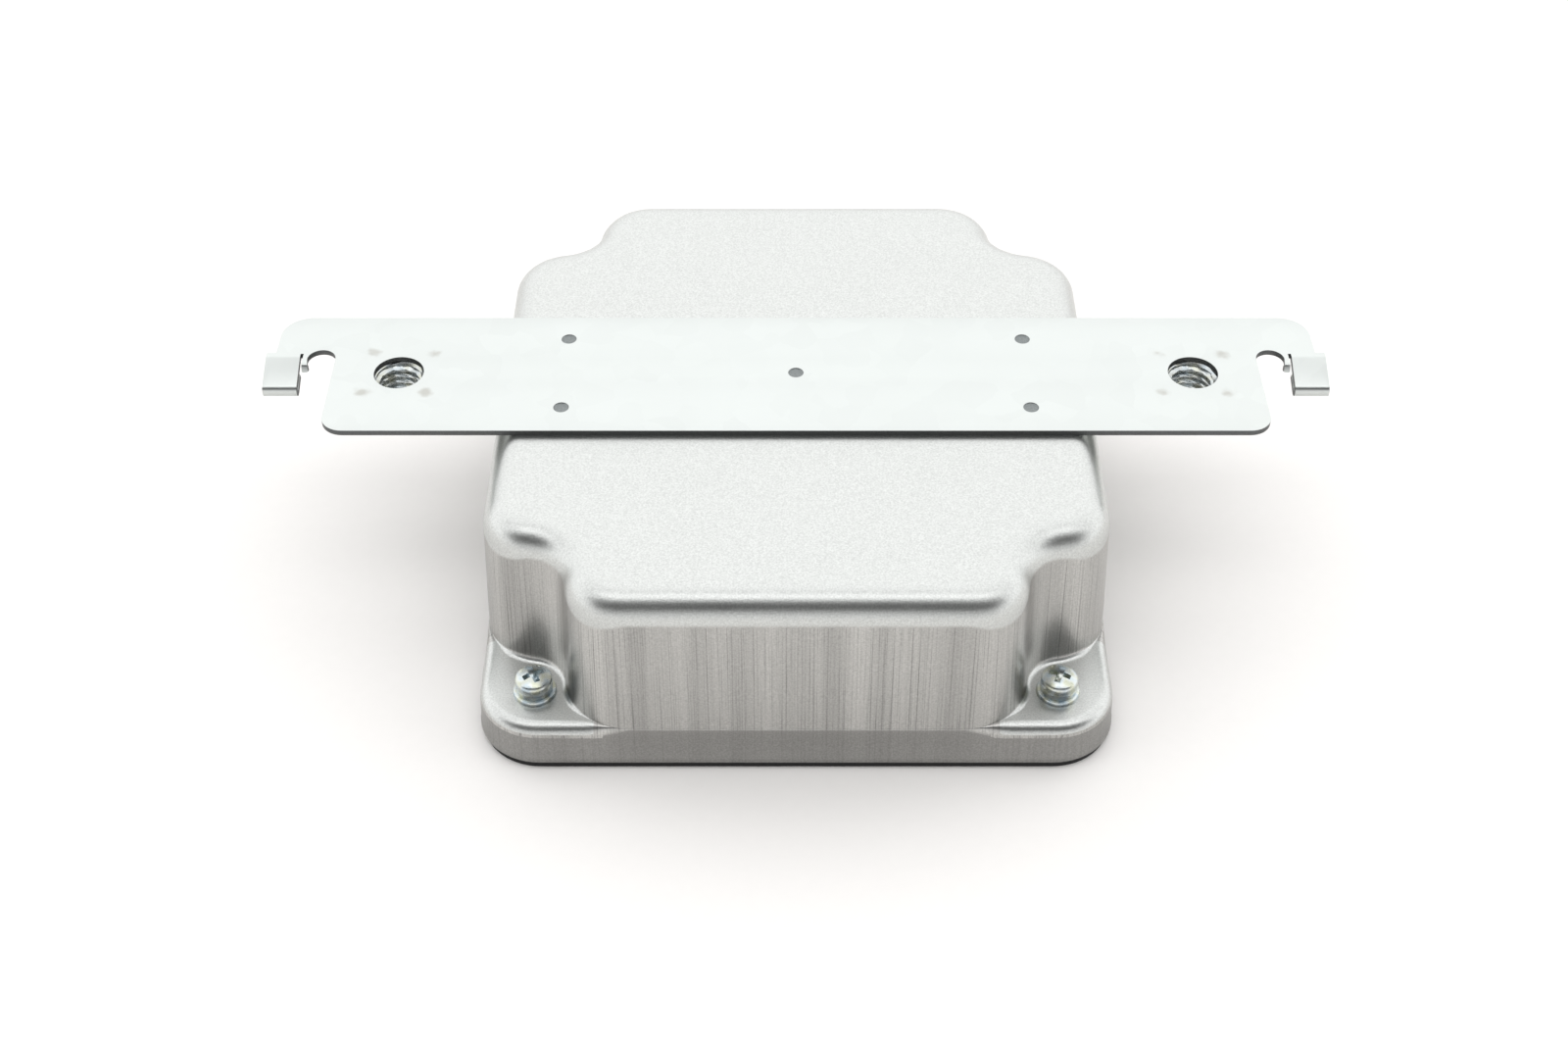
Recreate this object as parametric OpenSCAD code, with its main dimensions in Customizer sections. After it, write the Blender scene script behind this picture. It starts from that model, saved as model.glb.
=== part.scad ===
// Micro inverter in a drawn steel can that hangs from a welded bracket.
// Origin: centre of the base plate's underside. X runs along the bracket, the
// sockets leave the rear wall towards +Y, and Z is up. All sizes in millimetres.

/* [Can] */
// Width across the side walls, at the top of the walls
can_w = 100; // [94:0.5:130]
// Depth across the front and rear walls, at the top of the walls
can_d = 108.2; // [104:0.1:140]
// Height from the open edge to the top face
can_h = 33.6; // [32:0.1:42]
// Thickness of the drawn sheet
can_t = 0.8; // [0.6:0.1:1]
// How far each wall leans out between its top and the open edge
wall_draft = 1.3; // [0.6:0.1:2]
// Radius that rolls the top face into the walls
top_fillet_r = 4.7; // [3:0.1:6]
// Height of the corner shelves above the open edge
shelf_h = 7.45; // [6.5:0.05:9]
// Radius that rolls a shelf into the skirt
shelf_fillet_r = 2.1; // [1.5:0.1:3]
// How far the skirt below the shelves stands proud of the walls
skirt_step = 0.15; // [0.1:0.05:0.4]
// Corner radius of the skirt
skirt_corner_r = 9; // [7:0.5:12]
// Distance from the front wall's plane to where a side wall turns into the corner notch
side_inset = 24.4; // [22:0.1:26]
// Distance from a side wall's plane to where the front wall turns into the corner notch
front_inset = 23.5; // [21:0.5:25]
// Radius at the end of the side walls
side_corner_r = 9.5; // [8:0.5:11]
// Radius at the end of the front and rear walls
block_corner_r = 9.5; // [8:0.5:11]
// Radius of the hollow between those two corners
notch_r = 7.5; // [6:0.5:9]

/* [Base] */
// Thickness of the base plate
plate_t = 1; // [0.8:0.1:2]
// How far the base plate's edge stays inside the can's edge
plate_inset = 0.5; // [0.2:0.1:1]
// Thickness of the rubber seal between the plate and the can
seal_t = 0.5; // [0.3:0.1:1]
// Width of that seal
seal_w = 3; // [2:0.5:3.5]
// Radius of the press-in shanks that hold the posts in the base plate
clinch_r = 2; // [1.8:0.1:2.2]

/* [Cover screws] */
// Radius of the screw thread
screw_r = 1.5; // [1.25:0.05:1.6]
// Length of the screw below its head
screw_len = 8; // [7:0.5:8.5]
// Radius of the pan head
head_r = 3; // [2.75:0.05:3.2]
// Height of the pan head
head_h = 2.5; // [2:0.1:2.8]
// Distance of a screw's axis from the side wall's plane
screw_edge_x = 8; // [7.5:0.1:9]
// Distance of a screw's axis from the front or rear wall's plane
screw_edge_y = 7.2; // [6.8:0.1:8]
// Radius of the flat washer
washer_r = 3.5; // [3.3:0.1:3.8]
// Thickness of the flat washer
washer_t = 0.7; // [0.5:0.1:0.8]
// Radius of the split washer
spring_r = 2.95; // [2.7:0.05:3.1]
// Thickness of the split washer
spring_t = 0.9; // [0.7:0.1:1]
// Radius of the posts that the cover screws thread into
post_r = 3; // [2.6:0.1:3.4]

/* [Bracket] */
// Distance that the bracket's main plate reaches past the side walls' planes
bracket_reach = 28.1; // [27.5:0.1:40]
// Width of the bracket
bracket_w = 30.4; // [28:0.2:36]
// Thickness of the bracket sheet
bracket_t = 1; // [0.8:0.1:1.5]
// How far the bracket's middle lies behind the middle of the can
bracket_y = 0.9; // [0:0.1:2]
// Corner radius at the front of the main plate
bracket_corner_r = 3.8; // [2:0.2:6]
// Distance of the threaded end holes from the side walls' planes
hole_reach = 16.85; // [16:0.05:17.5]
// Radius of the clearance holes over the weld nuts
hole_r = 4.2; // [4.1:0.1:5]
// Distance between the spot welds along the bracket
weld_span = 77.7; // [60:0.1:80]
// Distance between the spot welds across the bracket
weld_rows = 18.4; // [14:0.2:20]
// Radius of a spot weld's dimple
weld_r = 1.3; // [1:0.1:1.6]

/* [Hooks] */
// Distance that the hook arms reach past the main plate's ends
arm_reach = 10.3; // [9.5:0.1:12]
// Radius of the arm's rear corner
arm_corner_r = 5; // [3:0.5:6]
// Width of the slot between the main plate and the arm
slot_w = 4.8; // [4.6:0.1:5.2]
// Distance of the slot's round end behind the bracket's middle
slot_y = 3.7; // [3:0.1:5]
// Width of the bent hook tab
tab_w = 5.8; // [5:0.1:6.5]
// Length of the sloping part of the tab
tab_len = 6.6; // [5.5:0.1:7.5]
// Slope of the tab
tab_angle = 20; // [12:1:30]
// Distance of the tab's bend behind the bracket's middle
tab_y = 4.6; // [4.2:0.1:6]
// Gap inside the folded edge at the tab's end
hem_gap = 0.4; // [0.3:0.1:0.6]
// Length of the folded-back layer under the tab
hem_len = 3; // [2:0.5:4]

/* [Weld nuts] */
// Width across the square weld nuts
nut_w = 14; // [13:0.5:15]
// Height of the weld nuts
nut_h = 6.5; // [5:0.5:8]
// Radius of the threaded hole at the thread's crests
nut_bore_r = 3.32; // [3.2:0.01:3.5]

/* [Board] */
// Height of the board's underside above the base plate
standoff_h = 5; // [4:0.5:5.5]
// Radius of the board standoffs
standoff_r = 2.5; // [2.2:0.1:3]
// Thickness of the circuit board
board_t = 1.6; // [1.2:0.2:2]
// Gap between the board's wide part and the side walls
board_gap_x = 5; // [4:0.5:7]
// Gap between the board's rear edge and the rear wall
board_gap_y = 5.5; // [5.2:0.1:7]
// Half the length of the board's wide part
board_wide_y = 36; // [35:0.5:37]
// Half the width of the board's long part
board_long_x = 32; // [30:0.5:33]
// Half the distance between the board screws along X
board_hole_x = 38; // [37:0.5:40]
// Half the distance between the board screws along Y
board_hole_y = 31; // [30:0.5:32]

/* [Power parts] */
// Thickness of the aluminium heat spreader
spreader_t = 3; // [2:0.5:4]
// Height of the spreader's upright above the base plate
spreader_h = 27; // [26.5:0.5:29]
// Half the length of the spreader
spreader_half = 32.5; // [32:0.5:33]
// Gap between the spreader's upright and the front wall
spreader_gap = 7.5; // [7:0.5:9]
// Distance between neighbouring transistors
transistor_pitch = 11; // [10.5:0.1:11]
// Width of a transistor
transistor_w = 10; // [9.5:0.1:10.2]
// Thickness of the insulating strip
pad_t = 0.3; // [0.2:0.1:0.6]
// Width of the transformer core
core_w = 32; // [30:1:34]
// Depth of the transformer core
core_d = 22; // [20:1:24]
// Thickness of the core's plates
core_plate_t = 5; // [4:0.5:5.5]
// Height of the winding window inside the core
core_window_h = 10; // [8:0.5:11]
// Radius of the core's centre post
core_post_r = 6.5; // [6:0.5:7]
// Radius of an electrolytic capacitor
cap_r = 6.25; // [5:0.25:6.4]
// Height of an electrolytic capacitor
cap_h = 20; // [16:0.5:22]
// Distance between neighbouring electrolytic capacitors
cap_pitch = 13; // [12.8:0.1:13.5]

/* [Sockets] */
// Height of the sockets' axes above the corner shelves
socket_lift = 8.65; // [8.4:0.05:9]
// Radius of a single-pole socket's barrel
dc_barrel_r = 5.5; // [5.2:0.1:6]
// Length of a single-pole socket's barrel
dc_barrel_len = 8; // [6:0.5:9]
// Radius of a single-pole socket's mouth
dc_mouth_r = 3.8; // [3.6:0.1:4.2]
// Radius of the three-pole socket's barrel
ac_barrel_r = 7.4; // [7.2:0.1:7.8]
// Length of the three-pole socket's barrel
ac_barrel_len = 6.5; // [6:0.5:7]
// Radius of the three-pole socket's mouth
ac_mouth_r = 6.2; // [5.8:0.1:6.4]
// Thickness of the sockets' flanges
flange_t = 2; // [1.5:0.5:3]
// Radius of a single-pole socket's flange
dc_flange_r = 7.25; // [6.8:0.05:7.4]
// Radius of the three-pole socket's flange
ac_flange_r = 8.6; // [8.4:0.1:8.8]
// Radius of a single-pole socket's threaded neck
dc_thread_r = 4.9; // [4.5:0.1:5]
// Radius of the three-pole socket's threaded neck
ac_thread_r = 6.6; // [6.3:0.1:6.8]
// Depth of a single-pole socket's mouth
dc_mouth_depth = 9; // [7:0.5:9.5]
// Depth of the three-pole socket's mouth
ac_mouth_depth = 7.5; // [6:0.5:8]

/* [Fits] */
// Radial gap between a screw and the thread that it turns in
thread_gap = 0.05; // [0.03:0.01:0.1]
// Radial gap of a screw or barrel in a clearance hole
clearance = 0.2; // [0.15:0.05:0.3]
// Radial gap of a solder pin in its hole
pin_gap = 0.1; // [0.05:0.05:0.2]

/* [Hidden] */
$fn = 48;
eps = 0.01;

// Heights
edge_z = plate_t + seal_t;
top_z = edge_z + can_h;
wall_top_z = top_z - top_fillet_r;
shelf_z = edge_z + shelf_h;
board_z = plate_t + standoff_h;
board_top = board_z + board_t;
socket_z = shelf_z + socket_lift;
draft_angle = atan(wall_draft / (wall_top_z - edge_z));

// Places
side_run = can_d / 2 - side_inset;
front_run = can_w / 2 - front_inset;
main_x = can_w / 2 + bracket_reach;
hole_x = can_w / 2 + hole_reach;
screw_x = can_w / 2 - screw_edge_x;
screw_y = can_d / 2 - screw_edge_y;
board_half_x = can_w / 2 - board_gap_x;
board_rear_y = can_d / 2 - board_gap_y;
spreader_y = -(can_d / 2 - spreader_gap);
spreader_face_y = spreader_y + spreader_t;
spreader_foot = spreader_gap + wall_draft + skirt_step - seal_w - 2 * clearance;
spreader_screw_x = 22;
spreader_screw_y = spreader_y - spreader_foot / 2;
board_front_y = spreader_face_y + pad_t + 1.5 * clearance;
cap_x = board_half_x - cap_r - clearance;
dc_socket_x = [4, 19];
ac_socket_x = -15;

// Colours
steel = "#b9bcbc";
zinc = "#dfe3e1";
black = "#232426";
copper = "#b86f3c";
ferrite = "#3a3b3d";

// Outline of the upper body: three tangent arcs turn each corner. The arcs'
// centres stay put, so an inset only changes their radii.
side_c = [can_w / 2 - side_corner_r, -side_run];
block_c = [front_run, -(can_d / 2 - block_corner_r)];
notch_c = arc_centre(side_c, side_corner_r + notch_r, block_c, block_corner_r + notch_r);

// Point at distance ra from a and rb from b, on the outer side of the line a-b
function arc_centre(a, ra, b, rb) =
    let (d = b - a, len = norm(d), u = d / len)
    let (along = (ra * ra - rb * rb + len * len) / (2 * len))
    let (out = sqrt(ra * ra - along * along))
    a + along * u + out * [-u[1], u[0]];

function heading(from, to) = atan2(to[1] - from[1], to[0] - from[0]);

function arc(c, r, a0, a1, first, last, n) =
    [for (i = [first : last]) c + r * [cos(a0 + (a1 - a0) * i / n), sin(a0 + (a1 - a0) * i / n)]];

function back_to_front(p) = [for (i = [len(p) - 1 : -1 : 0]) [-p[i][0], p[i][1]]];

function half_turn(p) = [for (q = p) [-q[0], -q[1]]];

function whole_loop(quarter) =
    let (half = concat(quarter, back_to_front(quarter)))
    concat(half, half_turn(half));

// Steps along each arc of a corner, and up each rolled edge
arc_steps = 4;
edge_steps = 4;

// Cross-shaped outline of the upper body, moved inward by d
function cross_outline(d, n = arc_steps) = whole_loop(concat(
    arc(side_c, side_corner_r - d, 0, heading(side_c, notch_c), 0, n - 1, n),
    arc(notch_c, notch_r + d, heading(notch_c, side_c), heading(notch_c, block_c), 0, n - 1, n),
    arc(block_c, block_corner_r - d, heading(block_c, notch_c), -90, 0, n, n)
));

// Points from a towards b, without b
function run(a, b, n) = [for (i = [0 : n - 1]) a + (b - a) * i / n];

// Rounded outline of the skirt, moved inward by d. Its points pair with the cross
// outline's: the side run faces the side arc, and so on round the corner.
function skirt_quarter(d, n) =
    let (r = skirt_corner_r, c = [can_w / 2 - r, -(can_d / 2 - r)])
    concat(
        run([can_w / 2 - d, -side_run], [can_w / 2 - d, c[1]], n),
        arc(c, r - d, 0, -90, 0, n - 1, n),
        run([c[0], -can_d / 2 + d], [front_run, -can_d / 2 + d], n),
        [[front_run, -can_d / 2 + d]]
    );

function skirt_outline(d, n = arc_steps) = whole_loop(skirt_quarter(d, n));

// Inset of a leaning wall at height z: nothing at the wall's top, less than nothing below
function lean(z) = -wall_draft * (wall_top_z - z) / (wall_top_z - edge_z);

function at_height(outline, z) = [for (p = outline) [p[0], p[1], z]];

// Ring of the rolled edge between the skirt and a shelf, for a sheet face d inside
// the can's outside. The roll dies out where the shelf does.
function roll_ring(d, a) =
    let (side_z = shelf_z - shelf_fillet_r, r = shelf_fillet_r - d)
    let (out = skirt_outline(d - skirt_step + lean(side_z)))
    let (in = skirt_outline(d - skirt_step + lean(side_z) + r))
    let (wall = cross_outline(d + lean(shelf_z)))
    [for (i = [0 : len(out) - 1])
        let (reach = min(1, 0.9 * norm(out[i] - wall[i]) / r) * (1 - cos(a)))
        let (p = out[i] + (in[i] - out[i]) * reach)
        [p[0], p[1], side_z + r * sin(a)]];

// Rings of one face of the can, d inside its outside, from the open edge to the top
function can_rings(d) = concat(
    [at_height(skirt_outline(d - skirt_step + lean(edge_z)), edge_z)],
    [for (i = [0 : edge_steps]) roll_ring(d, 90 * i / edge_steps)],
    [at_height(cross_outline(d + lean(shelf_z - d)), shelf_z - d)],
    [for (i = [0 : edge_steps])
        let (a = 90 * i / edge_steps, r = top_fillet_r - d)
        at_height(cross_outline(d + r * (1 - cos(a))), wall_top_z + r * sin(a))]
);

// Closed sheet between two stacks of rings that both start at the same height
module sheet(outer, inner) {
    n = len(outer[0]);
    levels = len(outer);
    shift = n * levels;
    walls = [
        for (k = [0 : levels - 2], i = [0 : n - 1])
        let (a = k * n + i, b = k * n + (i + 1) % n)
        each [
            [a, a + n, b + n], [a, b + n, b],
            [a + shift, b + n + shift, a + n + shift], [a + shift, b + shift, b + n + shift]
        ]
    ];
    rim = [for (i = [0 : n - 1]) [i, (i + 1) % n, (i + 1) % n + shift, i + shift]];
    top = (levels - 1) * n;
    caps = [
        [for (i = [n - 1 : -1 : 0]) top + i],
        [for (i = [0 : n - 1]) top + shift + i]
    ];
    polyhedron(
        points = concat([for (r = outer) each r], [for (r = inner) each r]),
        faces = concat(walls, rim, caps)
    );
}

module at_corners(x, y) {
    for (sx = [-1, 1], sy = [-1, 1])
        translate([sx * x, sy * y, 0])
            children();
}

// Frame on the leaning rear wall: +Z out of the wall, the wall's outside at Z 0
module on_rear_wall(x) {
    translate([x, can_d / 2 - lean(socket_z), socket_z])
        rotate([draft_angle - 90, 0, 0])
            children();
}

module ring(r_out, r_in, h) {
    difference() {
        cylinder(r = r_out, h = h);
        translate([0, 0, -1])
            cylinder(r = r_in, h = h + 2);
    }
}

module box(size) {
    translate([-size[0] / 2, -size[1] / 2, 0])
        cube(size);
}

module hexagon(width, h) {
    cylinder(r = width / 2 / cos(30), h = h, $fn = 6);
}

// ---- Can and base -------------------------------------------------------

// Clearance hole through the sheet for a shank of radius r along Z
module cover_cut(r) {
    h = 8;
    translate([0, 0, -h / 2])
        cylinder(r = r + clearance, h = h);
}

module cover() color(steel) {
    difference() {
        sheet(can_rings(0), can_rings(can_t));
        at_corners(screw_x, screw_y)
            translate([0, 0, shelf_z])
                cover_cut(screw_r);
        for (x = dc_socket_x)
            on_rear_wall(x)
                cover_cut(dc_thread_r);
        on_rear_wall(ac_socket_x)
            cover_cut(ac_thread_r);
    }
}

// Outline of what closes the can, d inside the can's edge
module plate_shape(d) {
    x = can_w / 2 + wall_draft + skirt_step - d;
    y = can_d / 2 + wall_draft + skirt_step - d;
    r = skirt_corner_r + wall_draft + skirt_step - d;
    union() {
        square([2 * (x - r), 2 * y], center = true);
        square([2 * x, 2 * (y - r)], center = true);
        for (sx = [-1, 1], sy = [-1, 1])
            translate([sx * (x - r), sy * (y - r)])
                circle(r = r);
    }
}

module base_plate() color(black) {
    difference() {
        linear_extrude(height = plate_t)
            plate_shape(plate_inset);
        at_corners(screw_x, screw_y)
            translate([0, 0, -1])
                cylinder(r = clinch_r + thread_gap, h = plate_t + 2);
        at_corners(board_hole_x, board_hole_y)
            translate([0, 0, -1])
                cylinder(r = clinch_r + thread_gap, h = plate_t + 2);
        for (sx = [-1, 1])
            translate([sx * spreader_screw_x, spreader_screw_y, -1])
                cylinder(r = screw_r + clearance, h = plate_t + 2);
    }
}

module base_seal() color(black) {
    translate([0, 0, plate_t])
        linear_extrude(height = seal_t)
            difference() {
                plate_shape(plate_inset / 2);
                plate_shape(seal_w);
            }
}

// Threaded post clinched into the base plate, its top at height z
module post(r, z) {
    difference() {
        union() {
            cylinder(r = clinch_r, h = plate_t + eps);
            translate([0, 0, plate_t])
                cylinder(r = r, h = z - plate_t);
        }
        translate([0, 0, plate_t + 0.6])
            cylinder(r = screw_r + thread_gap, h = z);
    }
}

module corner_posts() color(zinc) {
    at_corners(screw_x, screw_y)
        post(post_r, shelf_z - can_t);
}

module board_standoffs() color(zinc) {
    at_corners(board_hole_x, board_hole_y)
        post(standoff_r, board_z);
}

// ---- Screws and washers -------------------------------------------------

// Pan-head screw with a cross recess, its bearing face at Z 0
module pan_screw(length) {
    recess_w = 0.75;
    recess_l = 3.2;
    difference() {
        union() {
            rotate_extrude()
                intersection() {
                    square([head_r, head_h]);
                    translate([0, head_h - 1.5 * head_r])
                        circle(r = 1.5 * head_r);
                }
            translate([0, 0, -length])
                cylinder(r = screw_r, h = length + eps);
        }
        for (a = [0, 90])
            rotate([0, 0, a])
                translate([0, 0, head_h - 1.4])
                    box([recess_l, recess_w, 3]);
    }
}

module cover_screws() color(zinc) {
    at_corners(screw_x, screw_y)
        translate([0, 0, shelf_z + washer_t + spring_t])
            pan_screw(screw_len);
}

module spring_washers() color(zinc) {
    at_corners(screw_x, screw_y)
        translate([0, 0, shelf_z + washer_t])
            difference() {
                ring(spring_r, screw_r + clearance, spring_t);
                rotate([0, 0, 25])
                    translate([0, 0, -1])
                        translate([0, -0.25, 0])
                            cube([spring_r + 1, 0.5, spring_t + 2]);
            }
}

module flat_washers() color(zinc) {
    at_corners(screw_x, screw_y)
        translate([0, 0, shelf_z])
            ring(washer_r, screw_r + clearance, washer_t);
}

module board_screws() color(zinc) {
    at_corners(board_hole_x, board_hole_y)
        translate([0, 0, board_top])
            pan_screw(standoff_h - 0.5);
}

// ---- Bracket ------------------------------------------------------------

slot_c = [main_x + slot_w / 2, slot_y];
arm_x = main_x + arm_reach;
// How far the tab stands out past the arm, its flat root and its bend's inner radius
tab_shoulder = 1.6;
tab_root = 0.8;
bend_r = 0.6;
tab_x0 = arm_x + tab_shoulder - tab_w;
// Cut between the tab and the nub beside it, and where that nub ends
relief = 0.5;
relief_depth = 1.5;
nub_end = 0.9;
// How much wider the slot is at its round end than between its straight sides
slot_flare = 0.3;
hem_r = bracket_t + hem_gap / 2;
// Depth of a spot weld's dimple, and the height of the tools that cut the sheet
weld_depth = 0.2;
cut_h = 1;

module rounded_corner(x, y, r, sx, sy) {
    // Cut that rounds the convex corner at (x, y); sx and sy point to the outside
    difference() {
        translate([x - (sx > 0 ? r : 1), y - (sy > 0 ? r : 1)])
            square(r + 1);
        translate([x - sx * r, y - sy * r])
            circle(r = r);
    }
}

// One half of the flat bracket, for x > 0
module bracket_half() {
    slot_side = slot_c[0] + slot_w / 2 - slot_flare;
    difference() {
        union() {
            translate([0, -bracket_w / 2])
                square([main_x, bracket_w]);
            translate([main_x - eps, slot_y])
                square([arm_reach + eps, bracket_w / 2 - slot_y]);
            translate([slot_side, nub_end])
                square([tab_x0 - slot_side, slot_y - nub_end + eps]);
        }
        rounded_corner(main_x, -bracket_w / 2, bracket_corner_r, 1, -1);
        rounded_corner(arm_x, bracket_w / 2, arm_corner_r, 1, 1);
        translate(slot_c)
            circle(r = slot_w / 2);
        translate([main_x, -bracket_w])
            square([slot_w - slot_flare, bracket_w + slot_y - 0.8]);
        translate([tab_x0 - relief, slot_y - relief_depth])
            square([relief, tab_y - slot_y + relief_depth + relief]);
        translate([tab_x0 - relief, 0])
            square([arm_reach, tab_y]);
        translate([hole_x, 0])
            circle(r = hole_r);
    }
}

// Side view of the tab: bend, slope and folded edge. X here runs forward, Y up.
module tab_profile() {
    union() {
        translate([-tab_root, 0])
            square([tab_root + eps, bracket_t]);
        translate([0, -bend_r])
            intersection() {
                difference() {
                    circle(r = bend_r + bracket_t);
                    circle(r = bend_r);
                }
                polygon([[0, 0], [0, 3], [3 * tan(tab_angle), 3]]);
            }
        translate([0, -bend_r])
            rotate(-tab_angle)
                translate([0, bend_r])
                    tab_slope();
    }
}

module tab_slope() {
    mid = -hem_gap / 2;
    union() {
        translate([-eps, 0])
            square([tab_len - hem_r + 2 * eps, bracket_t]);
        translate([tab_len - hem_r - hem_len, -hem_gap - bracket_t])
            square([hem_len + eps, bracket_t]);
        intersection() {
            translate([tab_len - hem_r, mid])
                difference() {
                    circle(r = hem_r);
                    circle(r = hem_gap / 2);
                }
            translate([tab_len - hem_r, mid - 5])
                square([5, 10]);
        }
    }
}

module bracket_side() {
    difference() {
        linear_extrude(height = bracket_t)
            bracket_half();
        for (s = [-1, 1])
            translate([weld_span / 2, s * weld_rows / 2, bracket_t - weld_depth])
                cylinder(r = weld_r, h = cut_h);
    }
    translate([tab_x0, tab_y, 0])
        rotate([90, 0, 90])
            mirror([1, 0, 0])
                linear_extrude(height = tab_w)
                    tab_profile();
}

module mounting_bracket() color(zinc) {
    translate([0, bracket_y, top_z])
        difference() {
            union() {
                bracket_side();
                mirror([1, 0, 0])
                    bracket_side();
            }
            translate([0, 0, bracket_t - weld_depth])
                cylinder(r = weld_r, h = cut_h);
        }
}

module weld_nuts() color(zinc) {
    for (s = [-1, 1])
        translate([s * hole_x, bracket_y, top_z - nut_h])
            difference() {
                box([nut_w, nut_w, nut_h]);
                translate([0, 0, -1])
                    cylinder(r = nut_bore_r, h = nut_h + 2);
            }
}

// ---- Circuit board ------------------------------------------------------

transistor_x = [for (i = [0 : 5]) (i - 2.5) * transistor_pitch];
transistor_pin_y = spreader_face_y + pad_t + 2.6;
cap_y = [for (i = [0 : 3]) (i - 1.5) * cap_pitch - 1];
film_at = [[-39, -18], [-39, 2]];
film_size = [8, 18, 14];
relay_at = [-20, 26];
relay_size = [20, 15.5, 15];
fuse_at = [12, 24];
fuse_len = 20;
varistor_at = [-2, 22];
transformer_at = [-14, -20];
rail_y = core_d / 2 + 2.2;
choke_at = [16, -21];
filter_at = [-37.5, 20];
control_at = [-4, 3];
control_len = 40;
dc_tail_y = board_rear_y - 3.5;
ac_tail_low_y = board_rear_y - 4;
ac_tail_top_y = board_rear_y - 8;
ac_pin_ring = 4.1;
lead_r = 0.4;
tail_r = 0.9;

// Every solder pin: [x, y, radius]
pins = concat(
    [for (x = transistor_x, i = [-1 : 1]) [x + 2.54 * i, transistor_pin_y, lead_r]],
    [for (y = cap_y, s = [-1, 1]) [cap_x, y + 2.5 * s, lead_r]],
    [for (f = film_at, s = [-1, 1]) [f[0], f[1] + 7.5 * s, lead_r]],
    [for (i = [-2.5 : 2.5], s = [-1, 1]) transformer_pin(i, s)],
    [for (s = [-1, 1], t = [-1, 1]) [relay_at[0] + 7.5 * s, relay_at[1] + 5 * t, lead_r]],
    [for (s = [-1, 1]) [varistor_at[0] + 3.75 * s, varistor_at[1], lead_r]],
    [for (s = [-1, 1]) [fuse_at[0], fuse_at[1] + 7 * s, lead_r]],
    [for (s = [-1, 1]) [choke_at[0] + 6 * s, choke_at[1] + 12.7, lead_r]],
    [for (s = [-1, 1], t = [-1, 1]) [filter_at[0] + 3 * s, filter_at[1] + 8.3 * t, lead_r]],
    [for (i = [-4.5 : 4.5]) [control_at[0] + 2.54 * i, control_at[1], lead_r]],
    [for (x = dc_socket_x) [x, dc_tail_y, tail_r]],
    [for (s = [-1, 1]) [ac_socket_x + s * ac_pin_ring * cos(30), ac_tail_low_y, tail_r]],
    [[ac_socket_x, ac_tail_top_y, tail_r]]
);

function transformer_pin(i, s) =
    [transformer_at[0] + 5 * i, transformer_at[1] + s * rail_y, lead_r];

module circuit_board() color("#2f6b3a") {
    wide = 2 * board_half_x;
    difference() {
        translate([0, 0, board_z])
            union() {
                box([wide, 2 * board_wide_y, board_t]);
                translate([-board_long_x, board_front_y, 0])
                    cube([2 * board_long_x, board_rear_y - board_front_y, board_t]);
            }
        at_corners(board_hole_x, board_hole_y)
            translate([0, 0, board_z - 1])
                cylinder(r = screw_r + clearance, h = board_t + 2);
        for (p = pins)
            translate([p[0], p[1], board_z - 1])
                cylinder(r = p[2] + pin_gap, h = board_t + 2, $fn = 24);
    }
}

// Pin from just below the board up to height z
module solder_pin(p, z) {
    translate([p[0], p[1], board_z - 0.8])
        cylinder(r = p[2], h = z - board_z + 0.8, $fn = 24);
}

// ---- Power parts --------------------------------------------------------

module heat_spreader() color("#c9ccce") {
    difference() {
        union() {
            translate([-spreader_half, spreader_y, plate_t])
                cube([2 * spreader_half, spreader_t, spreader_h]);
            translate([-spreader_half, spreader_y - spreader_foot, plate_t])
                cube([2 * spreader_half, spreader_foot + eps, spreader_t]);
        }
        for (s = [-1, 1])
            translate([s * spreader_screw_x, spreader_screw_y, 0])
                cylinder(r = screw_r + thread_gap, h = 10);
    }
}

module spreader_screws() color(zinc) {
    for (s = [-1, 1])
        translate([s * spreader_screw_x, spreader_screw_y, 0])
            cylinder(r = screw_r, h = plate_t + spreader_t - 0.2);
}

transistor_z = board_top + 4.5;
transistor_body_h = 9;
transistor_tab_h = 15;
transistor_t = 4.6;

module power_transistors() color(black) {
    for (x = transistor_x)
        translate([x, spreader_face_y + pad_t, 0]) {
            translate([-transistor_w / 2, 0, transistor_z])
                cube([transistor_w, transistor_t, transistor_body_h]);
            translate([-transistor_w / 2, 0, transistor_z])
                cube([transistor_w, 1.3, transistor_tab_h]);
            for (i = [-1 : 1])
                translate([2.54 * i, 2.6, board_z - 0.8])
                    cylinder(r = lead_r, h = transistor_z - board_z + 0.8 + eps, $fn = 24);
        }
}

// Spring clip that hooks over the spreader's upright and presses on a transistor
module transistor_clips() color(zinc) {
    t = 0.6;
    top = plate_t + spreader_h;
    front = spreader_face_y + pad_t + transistor_t;
    press_z = transistor_z + 6;
    for (x = transistor_x)
        translate([x - 3, 0, 0])
            rotate([90, 0, 90])
                linear_extrude(height = 6)
                    polygon([
                        [spreader_y - t, top - 5], [spreader_y - t, top + t],
                        [front + t, top + t], [front + t, press_z],
                        [front, press_z], [front, top], [spreader_y, top],
                        [spreader_y, top - 5]
                    ]);
}

module insulating_pad() color("#c9a45c") {
    translate([-spreader_half, spreader_face_y, transistor_z - 1])
        cube([2 * spreader_half, pad_t, transistor_tab_h + 1]);
}

core_z = board_top + 0.4;
core_leg = 4;
window_z = core_z + core_plate_t;

module core_half() {
    box([core_w, core_d, core_plate_t]);
    for (s = [-1, 1])
        translate([s * (core_w - core_leg) / 2, 0, 0])
            box([core_leg, core_d, core_plate_t + core_window_h / 2 - 0.02]);
    cylinder(r = core_post_r, h = core_plate_t + core_window_h / 2 - 0.02);
}

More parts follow.
